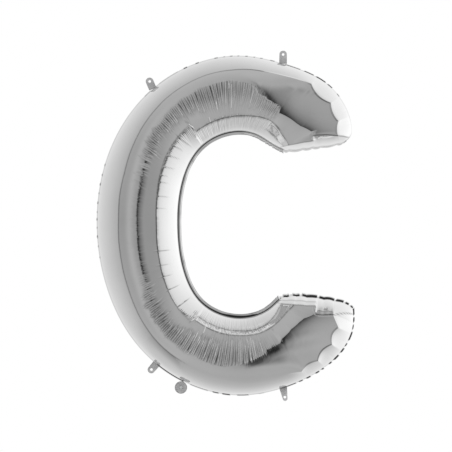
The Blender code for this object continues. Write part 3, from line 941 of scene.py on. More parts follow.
# Long waves over a sheet: how many, and most turns of one along and angle of one across it.
WAVE_COUNT = 10
WAVES_ALONG = 18
WAVES_ACROSS = 4
LEAST_ALONG, LEAST_ACROSS = 0.4, 0.2  # the least of both, over the most


def soft_waves(places, shares, generator, depth):
    """A sum of long waves over the sheet, which keep its reflections from being ruled lines.

    Each is sin(2 pi a place + b share + c) * cos(2 b share + d), with a, b, c and d at random.
    """
    total = np.zeros(shares.shape)
    for _ in range(WAVE_COUNT):
        a = generator.uniform(LEAST_ALONG, 1) * WAVES_ALONG
        b = generator.uniform(LEAST_ACROSS, 1) * WAVES_ACROSS
        c, d = generator.uniform(0, 2 * math.pi, 2)
        along = np.sin(2 * math.pi * a * places[:, None] + b * shares + c)
        total += along * np.cos(2 * b * shares + d)
    return depth * total / math.sqrt(WAVE_COUNT)


# Short puckers along the welds. Columns: side of the stroke, its edge, distance between them.
PUCKER_LINES = ((-1, OUTER, 0.018), (1, INNER, 0.012))
PUCKER_JITTER = 0.6
PUCKER_WIDTHS = (0.0016, 0.0034)
PUCKER_REACHES = (0.04, 0.14)  # how far in they run, as a change of share
PUCKER_DEPTHS = (0.2, 1.0)
PUCKER_CALM = 0.25  # their depth far from the ends, over that near them
PUCKER_FADE = (0.16, 0.34)  # where it changes, as a share of the way to the stroke's middle
PUCKER_FOOT = 0.02  # change of share over which they rise at the weld


def edge_puckers(places, shares, generator, depth):
    """Short puckers that run in from the two edges, strongest at the ends of the stroke.

    Each is -depth * exp(-(distance along the edge / width) ** 2) * exp(-(way in / reach) ** 2).
    """
    total = np.zeros(shares.shape)
    for side, edge, spacing in PUCKER_LINES:
        distance = edge_distance(edge, places)
        for middle in gap_noise(generator, 0, edge.length, spacing, PUCKER_JITTER):
            wide = generator.uniform(*PUCKER_WIDTHS)
            reach = generator.uniform(*PUCKER_REACHES)
            from_end = 2 * min(middle, edge.length - middle) / edge.length
            strength = PUCKER_CALM + (1 - PUCKER_CALM) * (1 - smooth(*PUCKER_FADE, from_end))
            deep = depth * generator.uniform(*PUCKER_DEPTHS) * strength
            near = middle - BELL_REACH * wide, middle + BELL_REACH * wide
            rows = slice(*np.searchsorted(distance, near))
            inward = 1 - side * shares[rows]
            pucker = bell(distance[rows] - middle, wide)[:, None] * bell(inward, reach)
            total[rows] -= deep * pucker * smooth(0, PUCKER_FOOT, inward)
    return total


def new_piece(name, mesh, finish):
    """A smooth shaded object with one material, riding on the balloon's only body."""
    mesh.materials.append(finish)
    mesh.shade_smooth()
    piece = bpy.data.objects.new(name, mesh)
    bpy.context.scene.collection.objects.link(piece)
    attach(piece, "root")
    return piece


def grid_mesh(name, points, turned, ring=False):
    """A mesh of quads on a grid of points, and its UV map in metres along and across.

    turned reverses the faces. ring joins the last column to the first.
    """
    rows, columns = points.shape[:2]
    index = np.arange(rows * columns).reshape(rows, columns)
    if ring:
        index = np.concatenate([index, index[:, :1]], axis=1)
    quads = np.stack([index[:-1, :-1], index[1:, :-1], index[1:, 1:], index[:-1, 1:]], -1)
    quads = quads.reshape(-1, 4)
    if turned:
        quads = quads[:, ::-1]
    mesh = bpy.data.meshes.new(name)
    mesh.vertices.add(rows * columns)
    mesh.vertices.foreach_set("co", np.ascontiguousarray(points, np.float32).ravel())
    mesh.loops.add(quads.size)
    mesh.loops.foreach_set("vertex_index", np.ascontiguousarray(quads, np.int32).ravel())
    mesh.polygons.add(len(quads))
    mesh.polygons.foreach_set("loop_start", np.arange(0, quads.size, 4, dtype=np.int32))
    mesh.update(calc_edges=True)
    run = chord_lengths(points[:, columns // 2])
    over = walked_lengths(points.swapaxes(0, 1)).T
    flat = np.stack([np.broadcast_to(run[:, None], over.shape), over], -1).reshape(-1, 2)
    layer = mesh.uv_layers.new(name="UVMap")
    layer.data.foreach_set("uv", np.ascontiguousarray(flat[quads.ravel()], np.float32).ravel())
    return mesh


def reshaped(mesh, change):
    """A mesh after a change that is made to its BMesh."""
    shape = bmesh.new()
    shape.from_mesh(mesh)
    change(shape)
    shape.to_mesh(mesh)
    shape.free()
    return mesh


def fill_ends(shape):
    """Fills the open ends of a shape."""
    open_edges = [edge for edge in shape.edges if edge.is_boundary]
    bmesh.ops.holes_fill(shape, edges=open_edges, sides=0)


MERGE_DISTANCE = 1e-6


def merge_and_face_out(shape):
    """Merges the points of a closed shape that coincide, and turns its faces outwards."""
    bmesh.ops.remove_doubles(shape, verts=shape.verts, dist=MERGE_DISTANCE)
    bmesh.ops.recalc_face_normals(shape, faces=shape.faces)


def in_space(points, height):
    """X, Y and Z from points in the seam's plane and heights along Y."""
    return np.stack([points[..., 0], height, points[..., 1]], axis=-1)


SHEET_FOOT = 0.0005  # where a sheet leaves the weld's face
# Fine creases of a sheet. Columns: their table, their depth over the plain one, and how
# strongly painted shade darkens the foil between them.
COMBS = ((COMB, 1.0, 0.7), (STRIP_COMB, 1.6, 0.4))


def mark_painted_shade(mesh, shade):
    """Keeps on each vertex its painted shade, from 0 to 1, which darkens the material's colour."""
    layer = mesh.attributes.new("painted_shade", "FLOAT", "POINT")
    layer.data.foreach_set("value", np.clip(shade, 0, 1).astype(np.float32).ravel())


def foil_sheet(name, side, seed, creases, shade_painted_creases, finish):
    """One sheet of the balloon: side is -1 for the front and 1 for the back.

    Its height is side * (foot + rise + relief * rise / FULL_RISE + puckers), the relief having
    no more than its full height.
    """
    look = bpy.context.scene.balloon_foil
    places = ROWS
    shares = sheet_shares(places)
    points = across_stroke(places, *edges(places, OUTER_WELD, INNER_WELD, END_WELD), shares)
    rise = sheet_rise(places, points, shares)
    generator = np.random.default_rng(seed)
    # Painted shade along the folds and the creases, kept on the vertices to darken the foil's colour.
    shade = painted_fold_shade(places, points, shares, generator)
    dark = line_creases(points, shade_painted_creases)
    shade += CREASE_PAINTED_SHADE * dark / FRINGE_DEPTH
    relief = line_creases(points, creases) + dark + dents(points, DENTS) + lobe_relief(places, shares)
    for number, (table, deeper, darker) in enumerate(COMBS, start=1):
        given = look.comb_spacing, look.comb_width, look.comb_depth * deeper, seed + number
        combed, painted_shade = comb_creases(points, places, shares, table, *given)
        relief += combed
        shade += darker * painted_shade
    relief += soft_waves(places, shares, generator, look.wave_depth)
    relief *= np.clip(rise / FULL_RISE, 0, 1)
    relief += edge_puckers(places, shares, generator, look.pucker_depth)
    height = side * (SHEET_FOOT + np.clip(rise + relief, 0, None))
    mesh = grid_mesh(name, in_space(points, height), turned=side > 0)
    mark_painted_shade(mesh, shade)
    return new_piece(name, mesh, finish)


FILM = 0.00035  # half the thickness of the weld's two films
UNDER_FOIL = 0.003  # how far the weld reaches in between the two sheets
STATIONS = 15  # over a weld's width on each of its faces
STATION_POWER = 0.9  # below 1 it draws them together at the free edge
EDGE_THINNING = 0.4  # thickness at the free edge over that of the rest


def strip(name, free, inside, lean, extra, finish):
    """A weld between its free edge and a line inside the sheets.

    lean(way) is the angle towards the back at a way from the foil's edge, in metres, for each
    row, and the strip is the curve with those angles. extra widens the strip row by row.
    """
    span = free - inside
    width = np.linalg.norm(span, axis=1)[:, None]
    out = span / width
    part = np.linspace(0, 1, STATIONS) ** STATION_POWER
    step = np.diff(part, prepend=0) * (width + extra[:, None])
    way = np.cumsum(step, axis=1) - UNDER_FOIL
    angle = lean(way)
    reach = np.cumsum(step * np.cos(angle), axis=1)
    height = np.cumsum(step * np.sin(angle), axis=1)
    thin = np.full(STATIONS, FILM)
    thin[-1] *= EDGE_THINNING
    flat = inside[:, None] + out[:, None] * reach[..., None]
    front = in_space(flat, height - thin)
    back = in_space(flat, height + thin)
    loop = np.concatenate([front, back[:, ::-1]], axis=1)
    mesh = grid_mesh(name, loop, turned=False, ring=True)
    return new_piece(name, reshaped(mesh, fill_ends), finish)


# Where the outer weld lies flat and shows as a dark dash. Columns: first and last place, and
# how much of its width is flat, in metres.
OUTER_DASHES = (
    (0.0000, 0.0050, 0.0030),
    (0.0610, 0.0660, 0.0030),
    (0.0740, 0.0814, 0.0040),
    (0.0838, 0.0972, 0.0042),
    (0.0995, 0.1120, 0.0036),
    (0.1160, 0.1350, 0.0030),
    (0.1470, 0.1530, 0.0026),
    (0.1610, 0.1650, 0.0022),
    (0.1700, 0.1730, 0.0020),
    (0.1790, 0.1825, 0.0022),
    (0.1890, 0.1920, 0.0020),
    (0.1970, 0.2010, 0.0020),
    (0.2060, 0.2090, 0.0018),
    (0.2150, 0.2200, 0.0022),
    (0.2390, 0.2440, 0.0026),
    (0.2545, 0.2600, 0.0028),
    (0.2674, 0.2960, 0.0010),
    (0.3090, 0.3205, 0.0012),
    (0.4230, 0.4260, 0.0020),
    (0.4365, 0.4395, 0.0020),
    (0.4490, 0.4525, 0.0024),
    (0.4620, 0.4640, 0.0020),
    (0.4740, 0.4775, 0.0022),
    (0.4870, 0.4890, 0.0018),
    (0.4960, 0.4995, 0.0022),
    (0.5080, 0.5100, 0.0020),
    (0.5190, 0.5230, 0.0022),
    (0.5330, 0.5350, 0.0018),
    (0.5480, 0.5500, 0.0018),
    (0.7112, 0.7513, 0.0030),
    (0.7599, 0.7830, 0.0018),
    (0.7886, 0.7965, 0.0030),
    (0.8003, 0.8103, 0.0034),
    (0.8180, 0.8323, 0.0026),
    (0.8430, 0.8500, 0.0014),
    (0.8690, 0.8880, 0.0034),
    (0.8905, 0.8960, 0.0040),
    (0.8995, 0.9055, 0.0048),
    (0.9110, 0.9165, 0.0048),
    (0.9190, 0.9225, 0.0050),
    (0.9290, 0.9335, 0.0050),
    (0.9360, 0.9440, 0.0060),
    (0.9470, 0.9535, 0.0060),
    (0.9555, 0.9600, 0.0050),
    (0.9630, 0.9735, 0.0060),
    (0.9760, 0.9820, 0.0050),
    (0.9840, 0.9900, 0.0060),
    (0.9920, 1.0000, 0.0060),
)
# The same for the weld across the lower end, with shares in place of places.
LOWER_DASHES = (
    (-0.99, -0.91, 0.0050),
    (-0.87, -0.76, 0.0056),
    (-0.72, -0.50, 0.0064),
    (-0.47, -0.05, 0.0066),
    (-0.01, 0.41, 0.0068),
    (0.46, 0.66, 0.0056),
    (0.74, 0.91, 0.0056),
    (0.95, 0.99, 0.0040),
)
# Flat part at the foot of the inner weld, a dark line. Columns: place, width in metres.
INNER_FOOT = (
    (0.00, 0.0012),
    (0.13, 0.0016),
    (0.20, 0.0020),
    (0.29, 0.0020),
    (0.36, 0.0016),
    (0.62, 0.0018),
    (0.70, 0.0026),
    (0.77, 0.0040),
    (0.79, 0.0056),
    (0.87, 0.0056),
    (0.89, 0.0030),
    (1.00, 0.0030),
)
BACK_TURN = math.radians(64)  # of the outer weld where it is pulled round
TURN_BEGIN, TURN_END = -0.0004, 0.0005  # where that turn lies, from the end of the flat part
DASH_SOFT = 0.0006  # how soft the ends of a dash are, as a change of place
LOWER_DASH_SOFT = 0.008  # and as a change of share
WIDE_DASH = 0.0045  # the weld is widened where its flat part is wider than this
OUTER_WIDENING = 0.8  # of the outer weld over what is past that width
UPPER_FLAT = (0.4, 1.0, 0.0018)  # least and most part of the width given last, in the upper end
INNER_LEAN = math.radians(36)  # of the inner weld's free edge, towards the back
LEAN_FROM, LEAN_TO = -0.0003, 0.0060  # where it is reached, from the end of the flat foot
INNER_RIM_TURN = (0.0094, 0.0098)  # ways at which the inner weld's rim turns flat again
CALM_VALUES = 60  # random values along the stroke that the lean goes through
RIPPLE_VALUES = 190  # and those of the ripples near the ends
CALM_PART = 0.10  # of the lean, that changes slowly
GATHERED_PART = 0.6  # of the lean, added where the weld is gathered
RIPPLE_TURN, GATHERED_RIPPLE = 0.16, 0.12  # angle of the ripples and what gathering adds
RIPPLED_PLACES = (0.09, 0.15)  # distances from an end between which the ripples fade
GATHERED_PLACES = (0.11, 0.19)  # places between which the gathering of the upper arm fades
WELD_COLUMNS = 161  # of the welds across the two ends
WELD_SEED = 31


def dash_width(at, dashes, soft):
    """Width of the flat part at positions along a weld, 0 between dashes, with soft ends."""
    width = np.zeros_like(at)
    for start, stop, flat in dashes:
        inside = smooth(start - soft, start + soft, at) * (1 - smooth(stop - soft, stop + soft, at))
        width = np.maximum(width, flat * inside)
    return width


def curled(flat):
    """Angles of a weld that is flat over a width at its foot and turned back beyond it."""
    flat = flat[:, None]
    return lambda way: BACK_TURN * smooth(flat + TURN_BEGIN, flat + TURN_END, way)


def taut(places):
    """Angles of the inner weld: flat at its foot, then leaning back, with ripples by the ends."""
    generator = np.random.default_rng(WELD_SEED)
    foot = read_table(INNER_FOOT, places)[0]
    rippled = 1 - smooth(*RIPPLED_PLACES, np.minimum(places, 1 - places))[:, None]
    gathered = 1 - smooth(*GATHERED_PLACES, places)[:, None]
    ripple = along_stroke(places, generator.normal(0, 1, RIPPLE_VALUES))
    calm = along_stroke(places, generator.normal(0, 1, CALM_VALUES))
    tilt = INNER_LEAN * (1 + CALM_PART * calm + GATHERED_PART * gathered)
    tilt += rippled * (RIPPLE_TURN + GATHERED_RIPPLE * gathered) * ripple

    def lean(way):
        rim = smooth(*INNER_RIM_TURN, way)
        return tilt * smooth(foot + LEAN_FROM, foot + LEAN_TO, way) * (1 - rim)

    return lean


def weld_strips(finish):
    """The four stretches of the weld."""
    places = ROWS
    shares = np.linspace(-1, 1, WELD_COLUMNS)
    grown = [width + UNDER_FOIL for width in (OUTER_WELD, INNER_WELD, END_WELD)]
    free = across_stroke(places, *edges(places, 0, 0, 0), shares)
    inside = across_stroke(places, *edges(places, *grown), shares)
    outer = dash_width(places, OUTER_DASHES, DASH_SOFT)
    least, most, width = UPPER_FLAT
    upper = width * (least + (most - least) * lobes(shares, END_NOTCHES[0]))
    lower = dash_width(shares, LOWER_DASHES, LOWER_DASH_SOFT)
    widened = [np.clip(flat - WIDE_DASH, 0, None) for flat in (outer, upper, lower)]
    return (
        strip("outer_weld", free[:, 0], inside[:, 0], curled(outer), OUTER_WIDENING * widened[0], finish),
        strip("inner_weld", free[:, -1], inside[:, -1], taut(places), 0 * places, finish),
        strip("upper_end_weld", free[0], inside[0], curled(upper), widened[1], finish),
        strip("lower_end_weld", free[-1], inside[-1], curled(lower), widened[2], finish),
    )


# Tabs. Columns: name, direction of the foot in degrees from +X, lean in degrees
# anticlockwise, length, width at the tip over the foot's, curl towards the back, twist.
TABS = (
    ("upper_left_tab", 122.6, -17.0, 0.027, 1.00, 0.10, 0.10),
    ("upper_right_tab", 75.4, 16.0, 0.030, 0.95, 0.25, -0.10),
    ("lower_left_tab", 238.6, -1.0, 0.026, 0.95, 0.15, 0.25),
    ("lower_right_tab", 284.7, -8.0, 0.031, 0.62, 0.20, 0.60),
)
TAB_WIDTH = 0.020
TAB_ROOT = -0.004  # where a tab begins, under the weld
TAB_HOLE = 0.0035  # radius
TAB_HOLE_FROM_TIP = 0.010
TAB_BEND_LENGTH = 0.03  # over which a tab's curl and twist are reckoned
TAB_SIDE_POINTS, TAB_TIP_POINTS, TAB_FOOT_POINTS = 26, 32, 16
NECK_DIRECTION = 250.0  # in degrees from +X
NECK_OUT = 0.0135  # of the neck's middle from the rim
NECK_POINTS = 96
NECK_WAVE = 0.0006  # height of the neck's waves, and their lengths along X and Z over 2 pi
NECK_WAVE_LENGTHS = (0.004, 0.005)
# Layers of the neck. Columns: name, radius, radius of the hole, nearest and farthest face on Y.
NECK_LAYERS = (
    ("neck_front", 0.016, 0.0040, -0.0010, -0.0005),
    ("neck_back", 0.016, 0.0002, 0.0005, 0.0010),
    ("valve_sleeve", 0.010, 0.0002, -0.0002, 0.0002),
)
# Rings of a holed film, as shares of the way from the hole to its outline.
FILM_RINGS = np.array([0.0, 0.04, 0.12, 0.24, 0.38, 0.52, 0.66, 0.78, 0.88, 0.94, 0.98, 1.0])
RIB_HEIGHT = 0.00018
RIBS = ((0.92, 0.05), (0.10, 0.06))  # where the welded ribs lie on that way, and their width
SHADE_PAINTED_RINGS = ((0.96, 0.05, 1.0), (0.0, 0.08, 0.5))  # the same of the rings of painted shade, and how dark


def rim_place(direction):
    """The outer edge's point in a direction from the centre, and the way out from it."""
    turn = np.unwrap(np.arctan2(OUTER.line[:, 1], OUTER.line[:, 0]))
    distance = np.interp(math.radians(direction), turn, OUTER.along)
    point, left = OUTER.read(np.array([distance]))
    return point[0], -left[0]


def holed_film(name, outline, middle, hole, bend, layer, finish):
    """A double film round a hole: rings from the hole to the outline, on both of its faces.

    A ring lies at its share of the way from the hole to the outline. bend gives the height
    along Y of any point, and layer its nearest and farthest face there, which both bulge out at
    the welded ribs.
    """
    away = outline - middle
    reach = np.linalg.norm(away, axis=1)
    unit = away / reach[:, None]
    radius = hole + (reach[:, None] - hole) * FILM_RINGS
    flat = middle + unit[:, None] * radius[..., None]
    rib = RIB_HEIGHT * sum(bell(FILM_RINGS - place, width) for place, width in RIBS)
    near, far = layer
    front = in_space(flat, bend(flat) + near - rib)
    back = in_space(flat, bend(flat) + far + rib)
    loop = np.concatenate([front, back[:, ::-1]], axis=1)
    loop = np.concatenate([loop, loop[:, :1]], axis=1)
    loop = np.concatenate([loop, loop[:1]], axis=0)
    mesh = grid_mesh(name, loop, turned=False)
    # Painted shade: a dark ring along the outline and a fainter one round the hole.
    dark = sum(shade * bell(FILM_RINGS - place, width) for place, width, shade in SHADE_PAINTED_RINGS)
    across = np.concatenate([dark, dark[::-1], dark[:1]])
    mark_painted_shade(mesh, np.broadcast_to(across, loop.shape[:2]))
    return new_piece(name, reshaped(mesh, merge_and_face_out), finish)


def hanging_tab(name, direction, lean, length, taper, curl, twist, finish):
    """A punched tab: a straight strip with a round tip, curled and twisted a little.

    Its height is (curl * run + twist * way beside) * run / TAB_BEND_LENGTH.
    """
    foot, out = rim_place(direction)
    turn = math.radians(lean)
    spin = np.array([[math.cos(turn), -math.sin(turn)], [math.sin(turn), math.cos(turn)]])
    out = spin @ out
    beside = np.array([-out[1], out[0]])
    half = TAB_WIDTH / 2
    tip = half * taper
    side = np.linspace(TAB_ROOT, length - tip, TAB_SIDE_POINTS)
    wide = np.linspace(half, tip, TAB_SIDE_POINTS)
    turns = np.linspace(0, math.pi, TAB_TIP_POINTS + 2)[1:-1]
    base = np.linspace(half, -half, TAB_FOOT_POINTS + 2)[1:-1]
    left = np.stack([-wide, side], 1)
    cap = np.stack([-tip * np.cos(turns), length - tip + tip * np.sin(turns)], 1)
    right = np.stack([wide[::-1], side[::-1]], 1)
    shape = np.concatenate([left, cap, right, np.stack([base, np.full_like(base, TAB_ROOT)], 1)])
    outline = foot + shape[:, :1] * beside + shape[:, 1:] * out
    middle = foot + out * (length - TAB_HOLE_FROM_TIP)

    def bend(points):
        offset = points - foot
        run = np.clip(offset @ out, 0, None)
        return (curl * run + twist * (offset @ beside)) * run / TAB_BEND_LENGTH

    return holed_film(name, outline, middle, TAB_HOLE, bend, (-FILM, FILM), finish)


def hanging_tabs(finish):
    """The four tabs, in the order of their table."""
    return [hanging_tab(*row, finish) for row in TABS]


def inflation_neck(foil, film):
    """The round neck: a front layer with the straw's hole, a back layer and the valve film.

    Height of each = wave * sin(x / length along X) * cos(z / length along Z).
    """
    foot, out = rim_place(NECK_DIRECTION)
    beside = np.array([-out[1], out[0]])
    middle = foot + out * NECK_OUT
    turns = np.linspace(0, 2 * math.pi, NECK_POINTS + 1)[:-1]
    circle = np.cos(turns)[:, None] * beside + np.sin(turns)[:, None] * out

    def wavy(points):
        x, z = np.moveaxis((points - middle) / NECK_WAVE_LENGTHS, -1, 0)
        return NECK_WAVE * np.sin(x) * np.cos(z)

    return [
        holed_film(name, middle + radius * circle, middle, hole, wavy, layer, finish)
        for (name, radius, hole, *layer), finish in zip(NECK_LAYERS, (foil, foil, film))
    ]


class Wires:
    """Makes and links the nodes of one node tree."""

    def __init__(self, tree):
        self.tree = tree

    def node(self, kind, **values):
        """A new node with its properties set."""
        made = self.tree.nodes.new(kind)
        for key, value in values.items():
            setattr(made, key, value)
        return made

    def link(self, source, target):
        """Feeds an input from a Value or an output, or sets it to a plain number."""
        source = getattr(source, "socket", source)
        if hasattr(source, "is_output"):
            self.tree.links.new(source, target)
        else:
            target.default_value = source

    def math(self, operation, *values):
        """The Value of a math node."""
        made = self.node("ShaderNodeMath", operation=operation)
        for socket, value in zip(made.inputs, values):
            self.link(value, socket)
        return Value(self, made.outputs[0])

    def coordinates(self, where):
        """One of the outputs of a Texture Coordinate node."""
        return self.node("ShaderNodeTexCoord").outputs[where]


class Value:
    """A number in a node tree, so that math nodes are written as a plain formula."""

    def __init__(self, wires, socket):
        self.wires = wires
        self.socket = socket

    def __add__(self, other):
        return self.wires.math("ADD", self, other)

    def __sub__(self, other):
        return self.wires.math("SUBTRACT", self, other)

    def __rsub__(self, other):
        return self.wires.math("SUBTRACT", other, self)

    def __mul__(self, other):
        return self.wires.math("MULTIPLY", self, other)

    def __truediv__(self, other):
        return self.wires.math("DIVIDE", self, other)

    def __pow__(self, other):
        return self.wires.math("POWER", self, other)

    def __neg__(self):
        return self * -1.0

    __radd__ = __add__
    __rmul__ = __mul__

    def at_least(self, low):
        """The larger one of the value and low."""
        return self.wires.math("MAXIMUM", self, low)

    def bell(self, width):
        """exp(-(value / width) ** 2)"""
        scaled = self / width
        return self.wires.math("EXPONENT", -(scaled * scaled))

    def ramp(self, low, high, to_low=0.0, to_high=1.0):
        """to_low at low and to_high at high, with an S-shaped change between."""
        made = self.wires.node("ShaderNodeMapRange", interpolation_type="SMOOTHSTEP")
        names = ("Value", "From Min", "From Max", "To Min", "To Max")
        for name, given in zip(names, (self, low, high, to_low, to_high)):
            self.wires.link(given, made.inputs[name])
        return Value(self.wires, made.outputs["Result"])

    def mix(self, first, second):
        """first where the value is 0 and second where it is 1."""
        return first + (second - first) * self


def principled(name):
    """A new material, its node tree's helper and its Principled shader."""
    made = bpy.data.materials.new(name)
    made.use_nodes = True
    wires = Wires(made.node_tree)
    return made, wires, made.node_tree.nodes["Principled BSDF"]


NOISE_ROUGHNESS = 0.55


def noise(wires, scale, detail=3.0, stretch=None):
    """Noise on Object coordinates, or on the UV map and stretched along it."""
    coordinates = wires.coordinates("UV" if stretch else "Object")
    if stretch:
        mapping = wires.node("ShaderNodeMapping")
        mapping.inputs["Scale"].default_value = stretch
        wires.link(coordinates, mapping.inputs["Vector"])
        coordinates = mapping.outputs["Vector"]
    made = wires.node("ShaderNodeTexNoise")
    wires.link(coordinates, made.inputs["Vector"])
    made.inputs["Scale"].default_value = scale
    made.inputs["Detail"].default_value = detail
    made.inputs["Roughness"].default_value = NOISE_ROUGHNESS
    return Value(wires, made.outputs["Fac"])


def colour_mix(wires, factor, first, second):
    """A colour between two others, each a colour output or three numbers."""
    made = wires.node("ShaderNodeMix", data_type="RGBA")
    wires.link(factor, made.inputs["Factor"])
    for colour, socket in ((first, made.inputs[6]), (second, made.inputs[7])):
        wires.link(colour if hasattr(colour, "is_output") else (*colour, 1), socket)
    return made.outputs[2]


NOISE_BAND = (0.3, 0.7)  # values of a noise between which most of its change is taken
# Grey that the painted shade mixes into a colour.
PAINTED_SHADE_GREY = (0.10, 0.10, 0.10)


def film(name, colours, cloud, roughness, haze, metallic, relief, painted_shade=0.0, haze_band=NOISE_BAND):
    """A foil or a film, which differs a little from place to place.

    Its colour goes between two by the noise called cloud, its roughness between two values by
    that called haze, and it is bumped by the noise in relief, which also has the bump's depth
    and strength. A noise is its scale, detail and stretch. The painted shade that a mesh keeps
    in an attribute darkens the colour by the amount that its argument gives.
    """
    made, wires, shader = principled(name)
    colour = colour_mix(wires, noise(wires, *cloud).ramp(*NOISE_BAND), *colours)
    # Painted shade: the vertex attribute darkens the colour towards a grey.
    if painted_shade:
        attribute = wires.node("ShaderNodeAttribute", attribute_name="painted_shade")
        darkness = Value(wires, attribute.outputs["Fac"]) * painted_shade
        colour = colour_mix(wires, darkness, colour, PAINTED_SHADE_GREY)
    wires.link(colour, shader.inputs["Base Color"])
    wires.link(noise(wires, *haze).ramp(*haze_band, *roughness), shader.inputs["Roughness"])
    shader.inputs["Metallic"].default_value = metallic
    grain, depth, strength = relief
    bump = wires.node("ShaderNodeBump")
    bump.inputs["Strength"].default_value = strength
    bump.inputs["Distance"].default_value = depth
    wires.link(noise(wires, *grain), bump.inputs["Height"])
    wires.link(bump.outputs["Normal"], shader.inputs["Normal"])
    return made


def silver_foil():
    """Metallised film: mirror bright, with a faint grain, a haze that comes and goes, and painted shade
    along its folds and creases.
    """
    look = bpy.context.scene.balloon_foil
    return film(
        "creased_silver_foil",
        colours=(look.foil_colour * 0.97, look.foil_colour),
        cloud=(9.0,),
        roughness=(look.gloss, look.gloss * 2),
        haze=(40.0, 4.0),
        haze_band=(0.3, 0.75),
        metallic=1.0,
        relief=((90.0, 2.0, (1.0, 0.35, 1.0)), 0.00022, 0.5),
        painted_shade=0.8,
    )


def welded_foil():
    """The flat weld: the same film pressed flat, with the fine ribs of the welding bar."""
    look = bpy.context.scene.balloon_foil
    return film(
        "pressed_weld_foil",
        colours=(look.foil_colour * 0.93, look.foil_colour),
        cloud=(30.0,),
        roughness=(0.02, 0.05),
        haze=(120.0,),
        metallic=1.0,
        relief=((300.0, 1.0, (1.0, 0.1, 1.0)), 0.00002, 0.3),
    )


def tab_foil():
    """Double film of the tabs and the neck: satin, pressed all over, a little scuffed, with painted shade
    at the outline and round the hole.
    """
    return film(
        "satin_tab_foil",
        colours=((0.66, 0.66, 0.67), (0.86, 0.86, 0.86)),
        cloud=(60.0, 4.0),
        roughness=(0.30, 0.46),
        haze=(150.0,),
        metallic=0.7,
        relief=((420.0, 2.0), 0.00012, 0.6),
        painted_shade=0.5,
    )


def valve_film():
    """Milky plastic film of the valve's sleeve."""
    return film(
        "milky_valve_film",
        colours=((0.74, 0.76, 0.76), (0.86, 0.88, 0.88)),
        cloud=(80.0,),
        roughness=(0.28, 0.42),
        haze=(140.0,),
        metallic=0.0,
        relief=((80.0,), 0.0001, 0.4),
    )


def finish_of(name):
    """The material of that name, made when it is first asked for."""
    makers = {
        "creased_silver_foil": silver_foil,
        "pressed_weld_foil": welded_foil,
        "satin_tab_foil": tab_foil,
        "milky_valve_film": valve_film,
    }
    return bpy.data.materials.get(name) or makers[name]()


# The tent, in slopes and in greys from 0 to 1, as studio_world explains them.
OVAL_LEFT, OVAL_RIGHT, OVAL_UP, OVAL_DOWN = 0.54, 0.53, 0.80, 0.64  # reach of the front wall
OVAL_DRAWN_IN = 0.10  # of its left reach, for each unit of upward slope and at most once
OVAL_POWER = 2.5  # how square it is: 2 is an ellipse
WALL_GREY = 0.285  # in its middle
WALL_LEFT, WALL_UP, WALL_DOWN = 0.06, 0.22, 0.24  # added for each unit of slope that way
STRIPE_PLACE, STRIPE_WIDTH, STRIPE_HEIGHT, STRIPE_GREY = 0.21, 0.10, 0.30, 0.10
PATCH_PLACE, PATCH_HEIGHT, PATCH_START, PATCH_GREY = 0.22, 0.12, 0.06, 0.055
# Greys of the tent's sides next to the wall and far from it, and the distance past the wall, as
# a share of its reach, at which they are half way. Each on the left, on the right and below.
NEAR_GREYS = (0.40, 0.62, 0.20)
FAR_GREYS = (0.78, 0.90, 0.86)
HALF_WAYS = (1.6, 0.8, 1.3)
LEVEL_GREY, LEVEL_HEIGHT = 0.18, 0.40  # added level with the balloon on the right
SIDEWAYS = (-0.85, 0.85)  # directions between which left turns to right
BELOW = (0.45, 0.90)  # and between which the sides turn to what is below
UNDERFOOT = (0.82, 0.90)  # directions between which the wall's edge turns soft and seamless
EDGE_SOFTNESS = (0.03, 1.2)  # of the wall, at its sides and underfoot
SEAM_WIDTH, SEAM_LEFT, SEAM_RIGHT = 0.045, 0.50, 0.78  # how dark the seam is on each side
SEAM_CHANGE = (-0.2, 0.4)  # directions between which it changes
GAP_DARKNESS = 0.88
SHADOW_BEGIN = (-0.02, 0.005)  # slopes over which the gap's shadow to its right comes in
SHADOW_END = (0.0, 0.18)  # and fades out
SHADOW_HEIGHT, SHADOW_DARKNESS = 0.19, 0.58
BACK_GAP_WIDTH, BACK_GAP_DARKNESS = 0.10, 0.7
LEAST, LEAST_WAY = 0.01, 0.001  # keep divisions away from zero


def front_wall(left, right, up, down):
    """Grey of the front wall: it grows with the slopes, and has a stripe and two patches."""
    height = up + down
    stripe = (left - STRIPE_PLACE).bell(STRIPE_WIDTH) * height.bell(STRIPE_HEIGHT)
    patches = (height - PATCH_PLACE).bell(PATCH_HEIGHT) * right.ramp(0.0, PATCH_START)
    plain = WALL_GREY + left * WALL_LEFT + up * WALL_UP + down * WALL_DOWN
    return plain + stripe * STRIPE_GREY + patches * PATCH_GREY


def tent_sides(sideways, upwards, past):
    """Grey of the tent's sides: near + (far - near) * past / (past + half way)."""
    right, below = sideways.ramp(*SIDEWAYS), (-upwards).ramp(*BELOW)
    near, far, half_way = (right.mix(*greys[:2]) for greys in (NEAR_GREYS, FAR_GREYS, HALF_WAYS))
    far = far + upwards.bell(LEVEL_HEIGHT) * right * LEVEL_GREY
    near, far = below.mix(near, NEAR_GREYS[2]), below.mix(far, FAR_GREYS[2])
    beyond = past.at_least(0.0)
    return (beyond / (beyond + below.mix(half_way, HALF_WAYS[2]))).mix(near, far)


